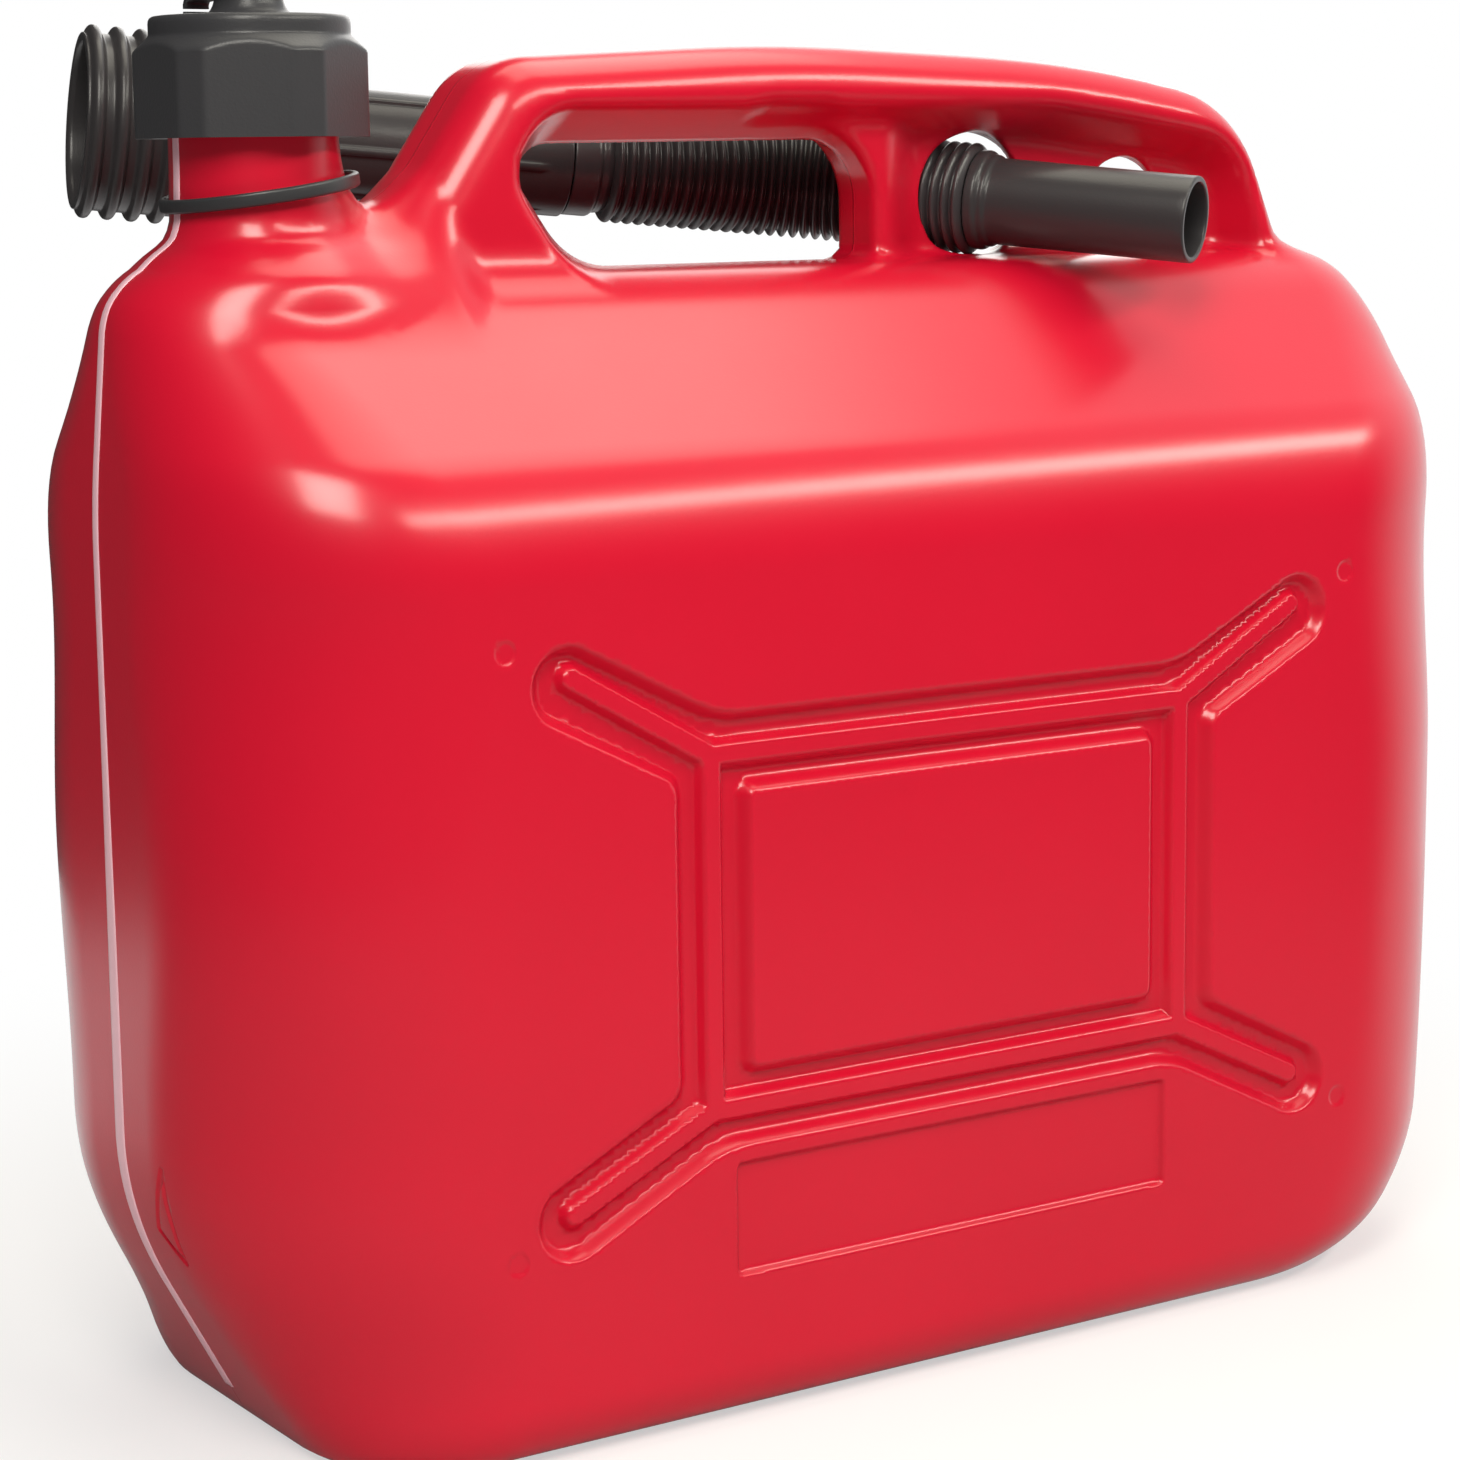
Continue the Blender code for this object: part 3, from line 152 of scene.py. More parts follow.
def along_direction(tree, place, direction):
    """How far a place or direction reaches along a given direction."""
    node = tree.nodes.new("ShaderNodeVectorMath")
    node.operation = "DOT_PRODUCT"
    node.inputs[1].default_value = direction
    tree.links.new(place, node.inputs[0])
    return node.outputs["Value"]


def blended(tree, share, first, second, sink):
    """Mix two shaders by a share and send the result to a socket."""
    mix = tree.nodes.new("ShaderNodeMixShader")
    for start, end in ((share, mix.inputs["Fac"]), (first, mix.inputs[1]), (second, mix.inputs[2]),
                       (mix.outputs[0], sink)):
        tree.links.new(start, end)


world = bpy.data.worlds.new("studio")
bpy.context.scene.world = world
world.use_nodes = True
tree = world.node_tree
tree.nodes.clear()
output = tree.nodes.new("ShaderNodeOutputWorld")
lit, seen = [tree.nodes.new("ShaderNodeBackground") for _ in range(2)]
for node in (lit, seen):
    node.inputs["Color"].default_value = (1, 1, 1, 1)
lit.inputs["Strength"].default_value = ROOM_LIGHT
heading_out = tree.nodes.new("ShaderNodeTexCoord").outputs["Generated"]
to_right = ranged(tree, along_direction(tree, heading_out, side), -0.15, 0.3, 0, 1)
to_back = ranged(tree, along_direction(tree, heading_out, level), -0.2, 0.5, 0, 1)
mirrored = node_math(tree, "MAXIMUM", node_math(tree, "MULTIPLY", to_right, to_back), DARKEST_MIRRORED)
direct = rays_of(tree, "Is Camera Ray", "Is Transmission Ray")
tree.links.new(node_math(tree, "MAXIMUM", direct, mirrored), seen.inputs["Strength"])
blended(tree, rays_of(tree, "Is Camera Ray", "Is Glossy Ray", "Is Transmission Ray"),
        lit.outputs[0], seen.outputs[0], output.inputs["Surface"])

floor_shape = bmesh.new()
bmesh.ops.create_circle(floor_shape, cap_ends=True, segments=96, radius=FLOOR_RADIUS)
floor_mesh = bpy.data.meshes.new("floor")
floor_shape.to_mesh(floor_mesh)
floor_shape.free()
floor = bpy.data.objects.new("floor", floor_mesh)
bpy.context.scene.collection.objects.link(floor)
floor_look = bpy.data.materials.new("pale_floor")
floor_look.use_nodes = True
tree = floor_look.node_tree
paint = tree.nodes["Principled BSDF"]
paint.inputs["Base Color"].default_value = (0.85, 0.85, 0.85, 1)
paint.inputs["Roughness"].default_value = 0.9
paint.inputs["Specular IOR Level"].default_value = 0
on_floor = tree.nodes.new("ShaderNodeTexCoord").outputs["Object"]
distance = tree.nodes.new("ShaderNodeVectorMath")
distance.operation = "LENGTH"
tree.links.new(on_floor, distance.inputs[0])
fade = ranged(tree, distance.outputs["Value"], *SHADOW_FADE)
direct = rays_of(tree, "Is Camera Ray", "Is Transmission Ray")
behind = ranged(tree, along_direction(tree, on_floor, level), *FLOOR_MIRRORED)
mirrored = node_math(tree, "MULTIPLY", rays_of(tree, "Is Glossy Ray"), FLOOR_GLOSS_SHARE)
glow = tree.nodes.new("ShaderNodeEmission")
tree.links.new(node_math(tree, "MAXIMUM", direct, behind), glow.inputs["Strength"])
blended(tree, node_math(tree, "MAXIMUM", node_math(tree, "MULTIPLY", fade, direct), mirrored),
        paint.outputs[0], glow.outputs[0], tree.nodes["Material Output"].inputs["Surface"])
floor_mesh.materials.append(floor_look)
print("lamps", list(LAMPS))

# %% [markdown]
# ## Finishes
# Moulded polyethylene is glossy but never mirror-smooth: the mould's fine grain breaks the highlights, and the wall
# pulls in a little where it cooled unevenly. Both are bumps from noise on Object coordinates, one fine and one wide.
# The red shell also has a glossier skin over a duller body, which gives bright lines but no pale veil, and a fine
# flash line where the mould's halves met. One function makes all the plastics, with grain and tint as arguments.

# %% A moulded plastic
DRIFT_SCALE = 14
WAVE_SCALE = 22
SMEAR_SCALE = 55
GRAIN_SCALE = 1600
SMEAR = 0.05
SKIN_ROUGHNESS = 0.21


def moulded_plastic(name, color, deep_color, roughness, grain, waves, seam=0, skin=0, shine=0.5):
    """Plastic with slight colour drift, fine mould grain and wide waves; lengths are metres."""
    look = bpy.data.materials.new(name)
    look.use_nodes = True
    tree = look.node_tree
    shader = tree.nodes["Principled BSDF"]
    shader.inputs["Coat Weight"].default_value = skin
    shader.inputs["Coat Roughness"].default_value = SKIN_ROUGHNESS
    shader.inputs["Specular IOR Level"].default_value = shine
    place = tree.nodes.new("ShaderNodeTexCoord").outputs["Object"]

    def noise(scale, detail):
        made = tree.nodes.new("ShaderNodeTexNoise")
        made.inputs["Scale"].default_value = scale
        made.inputs["Detail"].default_value = detail
        tree.links.new(place, made.inputs["Vector"])
        return made.outputs["Fac"]

    def bumped(height, distance, normal=None):
        made = tree.nodes.new("ShaderNodeBump")
        made.inputs["Strength"].default_value = 1.0
        made.inputs["Distance"].default_value = distance
        tree.links.new(height, made.inputs["Height"])
        if normal:
            tree.links.new(normal, made.inputs["Normal"])
        return made.outputs["Normal"]

    tint = tree.nodes.new("ShaderNodeMix")
    tint.data_type = "RGBA"
    tint.inputs["A"].default_value = (*color, 1)
    tint.inputs["B"].default_value = (*deep_color, 1)
    tree.links.new(noise(DRIFT_SCALE, 2), tint.inputs["Factor"])
    tree.links.new(tint.outputs["Result"], shader.inputs["Base Color"])
    smear = ranged(tree, noise(SMEAR_SCALE, 4), 0, 1, roughness - SMEAR, roughness + SMEAR, "LINEAR")
    tree.links.new(smear, shader.inputs["Roughness"])
    normal = bumped(noise(GRAIN_SCALE, 2), grain, bumped(noise(WAVE_SCALE, 1), waves))
    if seam:
        axes = tree.nodes.new("ShaderNodeSeparateXYZ")
        tree.links.new(place, axes.inputs["Vector"])
        away = node_math(tree, "ABSOLUTE", axes.outputs["Y"])
        normal = bumped(ranged(tree, away, seam, 0, 0, 1), seam / 2, normal)
    tree.links.new(normal, shader.inputs["Normal"])
    return look


red_shell = moulded_plastic("red_shell", (0.60, 0.0035, 0.026), (0.53, 0.003, 0.022), 0.38,
                            grain=0.00002, waves=0.0003, seam=0.0005, skin=0.8, shine=0.15)
pale_stripe = moulded_plastic("pale_stripe", (0.90, 0.56, 0.63), (0.82, 0.46, 0.56), 0.35,
                              grain=0.00002, waves=0.0001)
cap_black = moulded_plastic("cap_black", (0.042, 0.042, 0.047), (0.034, 0.034, 0.038), 0.36,
                            grain=0.00004, waves=0.0002, shine=0.35)
strap_black = moulded_plastic("strap_black", (0.035, 0.036, 0.040), (0.028, 0.029, 0.032), 0.38,
                              grain=0.00003, waves=0.0001)
hose_black = moulded_plastic("hose_black", (0.044, 0.040, 0.044), (0.034, 0.031, 0.034), 0.33,
                             grain=0.00002, waves=0.0001)
spout_black = moulded_plastic("spout_black", (0.040, 0.037, 0.040), (0.031, 0.029, 0.031), 0.32,
                              grain=0.00003, waves=0.0002, shine=0.35)
seal_rubber = moulded_plastic("seal_rubber", (0.05, 0.05, 0.05), (0.04, 0.04, 0.04), 0.75,
                              grain=0.00005, waves=0.0001)
print("finishes", [m.name for m in bpy.data.materials])

# %% [markdown]
# ## The shell as one rule
# The real shell has no joints at all: tank, neck and handle flow into each other with soft fillets, and the mould
# parts in the plane Y = 0. Such a form is easiest to give as a rule: a function that is negative inside the plastic
# and positive outside. Blending two forms is then a soft minimum, and cutting an opening is a soft maximum. Lengths in
# these cells are millimetres, and the mesh is scaled to metres at the end.


# %% Helpers for rules
def soft_max(a, b, width):
    """Maximum with its crease rounded over a width."""
    near = np.maximum(width - np.abs(a - b), 0) / width
    return np.maximum(a, b) + near * near * width / 4


def soft_min(a, b, width):
    """Minimum with its crease rounded over a width."""
    return -soft_max(-a, -b, width)


def round_meet(a, b, radius):
    """Common part of two forms whose surfaces meet square, with an edge of the given radius."""
    u = a + radius
    v = b + radius
    return np.minimum(np.maximum(u, v), 0) + np.hypot(np.maximum(u, 0), np.maximum(v, 0)) - radius


def smooth_step(share):
    """Zero below 0, one above 1, and an even S between."""
    share = np.clip(share, 0, 1)
    return share * share * (3 - 2 * share)


def rounded_outline(corners, steps=10):
    """Closed outline from (x, z, radius) corners."""
    points = []
    places = [Vector(corner[:2]) for corner in corners]
    for i, (_, _, radius) in enumerate(corners):
        corner = places[i]
        back = (places[i - 1] - corner).normalized()
        ahead = (places[(i + 1) % len(places)] - corner).normalized()
        if radius == 0:
            points.append(corner)
            continue
        half = back.angle(ahead) / 2
        centre = corner + (back + ahead).normalized() * radius / math.sin(half)
        start = corner + back * radius / math.tan(half) - centre
        turn = start.angle_signed(corner + ahead * radius / math.tan(half) - centre)
        points += [centre + Matrix.Rotation(-turn * k / steps, 2) @ start for k in range(steps + 1)]
    return np.array(points)


def outline_distance(x, z, outline):
    """Distance to a closed outline, negative inside it."""
    nearest = np.full(x.shape, 1e9)
    inside = np.zeros(x.shape, bool)
    for (x0, z0), (x1, z1) in zip(outline, np.roll(outline, -1, axis=0)):
        dx, dz = x1 - x0, z1 - z0
        length = dx * dx + dz * dz
        if length < 1e-12:
            continue
        along = np.clip(((x - x0) * dx + (z - z0) * dz) / length, 0, 1)
        nearest = np.minimum(nearest, (x - x0 - along * dx) ** 2 + (z - z0 - along * dz) ** 2)
        if z0 != z1:
            crossing = (z0 > z) != (z1 > z)
            inside ^= crossing & (x < dx * (z - z0) / dz + x0)
    return np.where(inside, -1, 1) * np.sqrt(nearest)


def smooth_curve(x, xs, ys):
    """Cubic curve through given points, with even slopes."""
    xs = np.asarray(xs, float)
    ys = np.asarray(ys, float)
    slopes = np.gradient(ys, xs)
    x = np.clip(x, xs[0], xs[-1])
    i = np.clip(np.searchsorted(xs, x) - 1, 0, len(xs) - 2)
    span = xs[i + 1] - xs[i]
    t = (x - xs[i]) / span
    return (
        (2 * t**3 - 3 * t**2 + 1) * ys[i] + (t**3 - 2 * t**2 + t) * span * slopes[i]
        + (3 * t**2 - 2 * t**3) * ys[i + 1] + (t**3 - t**2) * span * slopes[i + 1]
    )


# %% [markdown]
# ## Tank
# Seen from above the tank is a rounded rectangle, and its size depends on the height: the foot curves in, the faces
# stand upright, and above a soft crease the shoulders slope up to a narrow crest. The neck end curves in further at
# the foot than the far end, and leans in a little above the crease. Two curves give the half length and the half depth
# at each height, and the corners in plan are rounded by `round_meet`, with a radius that changes with the height.

# %% The tank's rule
HALF_LENGTH = 174.7
HALF_DEPTH = 70.5
FOOT_RADIUS = 14.7
CREASE_Z = 207.0
CREASE_RADIUS = 36.0
SHOULDER_FALL = 48.1 / 54.5
CREST_Z = 253.2
CROWN_Z = 255.5
NECK_FOOT_TOP = 52.5
NECK_FOOT_SLOPE = 0.53
FAR_FOOT_TOP = 38.0
FAR_FOOT_DEPTH = 22.0
LEAN_FOOT = 206.0
LEAN_SLOPE = 0.09
NECK_TOP_RADIUS = 14.0
FAR_TOP_RADIUS = 25.4
NECK_CORNERS = [(0, 31), (16, 47), (60, 56), (130, 52), (200, 54), (250, 27)]
FAR_CORNERS = [(0, 60), (60, 54), (130, 52), (200, 54), (250, 27)]


def end_reach(x, z):
    """How far the tank reaches at a height, at the end where x lies."""
    neck_foot = NECK_FOOT_SLOPE * soft_max(np.zeros_like(z), NECK_FOOT_TOP - z, 18)
    far_foot = FAR_FOOT_DEPTH * np.clip(1 - z / FAR_FOOT_TOP, 0, 1) ** 2
    lean = LEAN_SLOPE * soft_max(np.zeros_like(z), z - LEAN_FOOT, 10)
    top = np.where(x < 0, NECK_TOP_RADIUS, FAR_TOP_RADIUS)
    rise = np.clip(z - CROWN_Z + top, 0, top - 0.2)
    return HALF_LENGTH - np.where(x < 0, neck_foot + lean, far_foot) - top + np.sqrt(top**2 - rise**2)


def half_depth(z):
    """Half depth of the tank at a height."""
    low = np.clip(z, 0.4, FOOT_RADIUS)
    foot = FOOT_RADIUS - np.sqrt(FOOT_RADIUS**2 - (FOOT_RADIUS - low) ** 2)
    turn = math.pi / 2 - math.atan(SHOULDER_FALL)
    start = CREASE_Z - CREASE_RADIUS * math.tan(turn / 2)
    bend = np.arcsin(np.clip((z - start) / CREASE_RADIUS, 0, math.sin(turn)))
    crease = CREASE_RADIUS * (1 - np.cos(bend))
    slope = np.maximum(z - start - CREASE_RADIUS * math.sin(turn), 0) / SHOULDER_FALL
    return HALF_DEPTH - foot - crease - slope


def tank_rule(x, y, z, sunk):
    """The tank, with its faces sunk by a depth."""
    depth = half_depth(z)
    corner = np.where(x < 0, smooth_curve(z, *zip(*NECK_CORNERS)), smooth_curve(z, *zip(*FAR_CORNERS)))
    corner = np.maximum(soft_min(corner, depth - 0.5, 8), 4)
    plan = round_meet(np.abs(x) - end_reach(x, z), np.abs(y) + sunk - depth, corner)
    crown = z - CREST_Z + 0.004 * y * y
    return soft_max(soft_max(plan, crown, 7), -z, 2.5)


# %% [markdown]
# ## Raised frame
# Both faces carry the same relief, which stiffens the flat walls: a sunk channel runs round a panel, with four lanes
# that reach out to the corners, and a rounded rib runs along the middle of the channel and of each lane. The words
# that stand on the panel of a sold can are left out, so the panel is plain. The rule here only says how deep the face
# is sunk at a place; the wall's slope is a smooth step over three millimetres. Small round marks are sunk beyond the
# lanes, and a little triangle is sunk in the neck end.

# %% The relief's depth
RIB_CORNERS = [(65.5, 151.0), (65.5, 72.7)]
LANE_TIPS = [(101.0, 169.0), (102.0, 54.5)]
RIB_TIPS = [(99.6, 170.6), (101.2, 55.4)]
ROUND_MARKS = [(116.0, 177.5), (116.0, 47.5)]
TRIANGLE = [(-20.0, 66.0), (-12.5, 51.0), (-20.8, 45.0)]
CHANNEL_SLOPE = 3.2
CHANNEL_DEPTH = 3.3
RIB_HEIGHT = 2.6
PLATE_DEPTH = 1.4
MARK_DEPTH = 0.35
MARK_RADIUS = 2.4
STROKE_DEPTH = 0.6


def box_distance(x, z, half_x, low, high, radius):
    """Distance to an upright box with rounded corners."""
    dx = np.abs(x) - half_x + radius
    dz = np.abs(z - (low + high) / 2) - (high - low) / 2 + radius
    return np.minimum(np.maximum(dx, dz), 0) + np.hypot(np.maximum(dx, 0), np.maximum(dz, 0)) - radius


def segment_distance(x, z, start, end):
    """Distance to a straight segment in the panel."""
    dx, dz = end[0] - start[0], end[1] - start[1]
    along = np.clip(((x - start[0]) * dx + (z - start[1]) * dz) / (dx * dx + dz * dz), 0, 1)
    return np.hypot(x - start[0] - along * dx, z - start[1] - along * dz)


def relief(x, z):
    """How deep a face is sunk at a place, and how near the place is to a slope of the relief."""
    x = np.abs(x)
    around = box_distance(x, z, 75.5, 63.5, 160.7, 4)
    panel = box_distance(x, z, 55.5, 82.0, 142.2, 1.2)
    channel = np.maximum(around, -panel)
    rib = np.abs(box_distance(x, z, 65.5, 72.7, 151.0, 2.5))
    for corner, lane_tip, rib_tip in zip(RIB_CORNERS, LANE_TIPS, RIB_TIPS):
        channel = soft_min(channel, segment_distance(x, z, corner, lane_tip) - 9.4, 3)
        rib = soft_min(rib, segment_distance(x, z, corner, rib_tip), 1)
    plate = box_distance(x, z, 61.0, 34.2, 60.6, 2)
    sunk = smooth_step(-channel / CHANNEL_SLOPE)
    depth = CHANNEL_DEPTH * sunk - RIB_HEIGHT * smooth_step((3.9 - rib) / 2.2) * sunk
    depth = depth + PLATE_DEPTH * smooth_step(-plate / 1.2)
    near = np.minimum(np.abs(channel + 1.6), np.abs(rib - 2.6))
    near = np.minimum(near, np.abs(plate + 0.8) + 0.8)
    for dot_x, dot_z in ROUND_MARKS:
        dot = np.hypot(x - dot_x, z - dot_z)
        depth = depth + MARK_DEPTH * smooth_step((2.9 - dot) / 1.0)
        near = np.minimum(near, np.abs(dot - MARK_RADIUS) + 0.6)
    return depth, near


def end_mark(y, z):
    """Distance to the three strokes of the small triangle on the neck end."""
    return np.minimum.reduce([segment_distance(y, z, TRIANGLE[i - 1], TRIANGLE[i]) for i in range(3)])


# %% [markdown]
# ## Neck and handle
# The neck stands on a mound that flows into the shoulder. The handle is a plate with well rounded edges. Its openings
# were pressed in from both sides, so their walls open outwards from the parting plane: each opening is the outline at
# the parting plane, less a share of the distance from it. To the right of the post the pressing stops short of the
# middle and leaves a thin web, and two round holes go through that web.

# %% The rules for neck and handle
NECK_X = -135.0
NECK_HEIGHTS = [190, 215, 228, 238, 245, 249.2, 253.3, 257.4, 261.4, 264.5, 270, 302]
NECK_RADII = [4.0, 15.0, 22.5, 27.0, 29.2, 29.6, 28.2, 24.4, 19.9, 18.6, 18.3, 18.3]
NECK_TOP = 301.3
HOLES = [(56.0, 267.2, 15.7), (103.5, 264.5, 12.0)]
HANDLE_HALF_DEPTH = 17.0
HANDLE_EDGE = 11.5
WEB_HALF_DEPTH = 1.5
POST_EXTRA_DEPTH = 7.0
RECESS_FLARE = 0.5
GRIP_FLARE = 0.46
PLAIN_FLARE = 0.04

handle_edge = rounded_outline([
    (-123.5, 240, 0), (153.6, 240, 0), (132.5, 290.0, 34), (80, 300.1, 400), (-5, 303.5, 500), (-81.5, 299.7, 20),
])
grip_edge = rounded_outline([
    (-52, 246, 0), (16, 246, 0), (21.9, 252.2, 8), (21.9, 281.4, 14), (-70.5, 280.9, 8), (-70.8, 272.8, 8),
])
recess_edge = rounded_outline([
    (-10, 240, 0), (132.5, 240, 0), (127.5, 273.5, 13), (70, 281.0, 60), (-10, 281.4, 0),
])


def neck_rule(x, y, z):
    """Neck and mound, turned round the neck's axis."""
    away = np.hypot(x - NECK_X, y)
    return np.maximum(away - smooth_curve(z, NECK_HEIGHTS, NECK_RADII), z - NECK_TOP)


def handle_rule(x, y, z):
    """Handle plate with its grip opening, recesses, web and holes."""
    off = np.abs(y)
    plate = round_meet(outline_distance(x, z, handle_edge), off - HANDLE_HALF_DEPTH, HANDLE_EDGE)
    flare = GRIP_FLARE * smooth_step((24 - x) / 22) + PLAIN_FLARE
    grip = outline_distance(x, z, grip_edge) - flare * off
    web_half = WEB_HALF_DEPTH + POST_EXTRA_DEPTH * smooth_step((41 - x) / 17)
    recess = soft_max(outline_distance(x, z, recess_edge) - RECESS_FLARE * off, web_half - off, 4)
    body = soft_max(plate, -recess, 4)
    body = soft_max(body, -grip, 3)
    for hole_x, hole_z, radius in HOLES:
        body = soft_max(body, radius - np.hypot(x - hole_x, z - hole_z), 1.0)
    return body


def shell_rule(points):
    """The whole shell at an array of points."""
    x, y, z = points.T
    sunk, _ = relief(x, z)
    shell = tank_rule(x, y, z, np.where(z < 190, sunk, 0))
    shell = shell + np.where(x < -150, STROKE_DEPTH * smooth_step((1.0 - end_mark(y, z)) / 0.7), 0)
    upper = z > 185
    xu, yu, zu = x[upper], y[upper], z[upper]
    high = soft_min(shell[upper], neck_rule(xu, yu, zu), 9)
    handle = handle_rule(xu, yu, zu)
    blend = 4 + 5 * smooth_step((np.abs(xu - 75) - 58) / 20) + 15 * smooth_step((-88 - xu) / 14)
    shell[upper] = soft_min(high, handle, blend)
    return shell


# %% [markdown]
# ## From a rule to a mesh
# A surface net samples the rule on a box grid and puts one vertex in each cell that the surface crosses, which gives
# even quads without any joints. The grid may be closer where the form is finer: here near the thin web and in the
# handle. Then each vertex slides along the rule's gradient until it lies on the surface.


# %% Surface net
def surface_net(rule, xs, ys, zs):
    """Vertices and quads of the surface where the rule is zero, on a box grid."""
    grid = np.stack(np.meshgrid(xs, ys, zs, indexing="ij"), axis=-1)
    shape = grid.shape[:3]
    value = rule(grid.reshape(-1, 3)).reshape(shape)
    cells = tuple(n - 1 for n in shape)
    total = np.zeros(cells + (3,))
    count = np.zeros(cells)
    inside = value < 0
    crossings = []
    for axis in range(3):
        low = tuple(slice(0, -1) if a == axis else slice(None) for a in range(3))
        high = tuple(slice(1, None) if a == axis else slice(None) for a in range(3))
        cut = inside[low] != inside[high]
        span = value[low] - value[high]
        share = np.where(cut, value[low] / np.where(span == 0, 1, span), 0)
        place = grid[low] + share[..., None] * (grid[high] - grid[low])
        place = place * cut[..., None]
        crossings.append((cut, inside[low]))
        others = [a for a in range(3) if a != axis]
        for da in (0, 1):
            for db in (0, 1):
                part = [slice(None)] * 3
                part[others[0]] = slice(da, da + cells[others[0]])
                part[others[1]] = slice(db, db + cells[others[1]])
                part = tuple(part)
                total += place[part]
                count += cut[part]
    used = count > 0
    number = np.full(cells, -1)
    number[used] = np.arange(used.sum())
    vertices = total[used] / count[used][:, None]
    quads = []
    for axis, (cut, solid_first) in enumerate(crossings):
        a, b = [(1, 2), (2, 0), (0, 1)][axis]
        index = np.argwhere(cut)
        index = index[(index[:, a] > 0) & (index[:, b] > 0)]
        index = index[(index[:, a] < cells[a]) & (index[:, b] < cells[b])]
        corners = []
        for da, db in ((1, 1), (0, 1), (0, 0), (1, 0)):
            cell = index.copy()
            cell[:, a] -= da
            cell[:, b] -= db
            corners.append(number[tuple(cell.T)])
        faces = np.stack(corners, axis=1)
        flip = ~solid_first[tuple(index.T)]
        faces[flip] = faces[flip][:, ::-1]
        quads.append(faces)
    return vertices, np.concatenate(quads)


def gradient(rule, points, reach=0.05):
    """Slope of the rule at points."""
    slopes = []
    for axis in range(3):
        step = np.zeros(3)
        step[axis] = reach
        slopes.append((rule(points + step) - rule(points - step)) / (2 * reach))
    return np.stack(slopes, axis=1)


def settle(rule, points, rounds, stride=1.2):
    """Slide points along the gradient onto the surface."""
    for _ in range(rounds):
        slope = gradient(rule, points)
        size = np.maximum((slope**2).sum(1), 1e-6)
        move = -rule(points)[:, None] * slope / size[:, None]
        length = np.linalg.norm(move, axis=1)
        points = points + move * np.minimum(1, stride / np.maximum(length, 1e-9))[:, None]
    return points


def relax(points, edges, share):
    """Move each point part of the way to the middle of its neighbours."""
    total = np.zeros_like(points)
    count = np.zeros(len(points))
    for a, b in ((0, 1), (1, 0)):
        np.add.at(total, edges[:, a], points[edges[:, b]])
        np.add.at(count, edges[:, a], 1)
    return points + share * (total / np.maximum(count, 1)[:, None] - points)


# %% [markdown]
# ## The shell's mesh
# The flat walls need few faces and the relief's slopes need many, so the net starts coarse and only the faces near a
# slope, a hole's rim or the thin web are divided, twice where the slope is steep and three times at the triangle's
# strokes. After each division the new points are settled on the rule again. The shading takes its normals straight
# from the rule's gradient, so the highlights run as smoothly as the rule does.


# %% Make the shell
def grid_line(spans):
    """Grid coordinates from (low, high, step) spans."""
    parts = [np.linspace(low, high, max(int(round((high - low) / step)), 1), endpoint=False)
             for low, high, step in spans]
    return np.concatenate(parts + [[spans[-1][1]]])


across = np.array([0.62, 2.3, 4.4, 7.0, 9.8, 12.6, 15.4, 18.2, 21.2, 24.4, 27.6, 30.8])
across = np.concatenate([across, np.arange(34.2, 76, 3.3)])
across = np.concatenate([-across[::-1], across])
along = grid_line([(-180.3, -136, 3.1), (-136, 164, 2.4), (164, 180.5, 3.1)])
upward = grid_line([(-3.2, 240, 3.3), (240, 306.6, 2.0)])
points, quads = surface_net(shell_rule, along, across, upward)
shell_mesh = bpy.data.meshes.new("can_shell")
shell_mesh.from_pydata(points.tolist(), [], quads.tolist())
shape = bmesh.new()
shape.from_mesh(shell_mesh)


def settle_shape(rule, shape, rounds, relaxing=0):
    """Settle and even out all vertices of an edit mesh."""
    shape.verts.index_update()
    points = np.array([v.co for v in shape.verts])
    edges = np.array([[v.index for v in e.verts] for e in shape.edges])
    for _ in range(relaxing):
        points = settle(rule, relax(points, edges, 0.5), 1)
    points = settle(rule, points, rounds)
    for vertex, point in zip(shape.verts, points):
        vertex.co = point


def divide_near(shape, chosen):
    """Divide the faces whose middles are chosen."""
    middles = np.array([f.calc_center_median() for f in shape.faces])
    picked = chosen(middles)
    edges = {e for f, wanted in zip(shape.faces, picked) if wanted for e in f.edges}
    bmesh.ops.subdivide_edges(shape, edges=list(edges), cuts=1, use_grid_fill=True)


def smoothed(shape, mesh):
    """Write an edit mesh into a mesh with smooth shading."""
    shape.to_mesh(mesh)
    shape.free()
    mesh.polygons.foreach_set("use_smooth", [True] * len(mesh.polygons))
    return mesh


def near_relief(reach):
    """Chooser for faces near a slope of the relief on the flat faces."""
    def chosen(middles):
        _, near = relief(middles[:, 0], middles[:, 2])
        flat = (np.abs(middles[:, 1]) > 62) & (middles[:, 2] < 186) & (middles[:, 2] > 25)
        return flat & (near < reach)
    return chosen


def near_rim(middles):
    """Chooser for faces near the thin web and the rims of its holes."""
    x, y, z = middles.T
    rim = np.minimum.reduce([np.abs(np.hypot(x - hole_x, z - hole_z) - radius) for hole_x, hole_z, radius in HOLES])
    return (z > 249) & (rim < 2.6) & (np.abs(y) < 8)


def near_mark(reach):
    """Chooser for faces near the triangle on the neck end."""
    def chosen(middles):
        return (middles[:, 0] < -150) & (end_mark(middles[:, 1], middles[:, 2]) < reach)
    return chosen


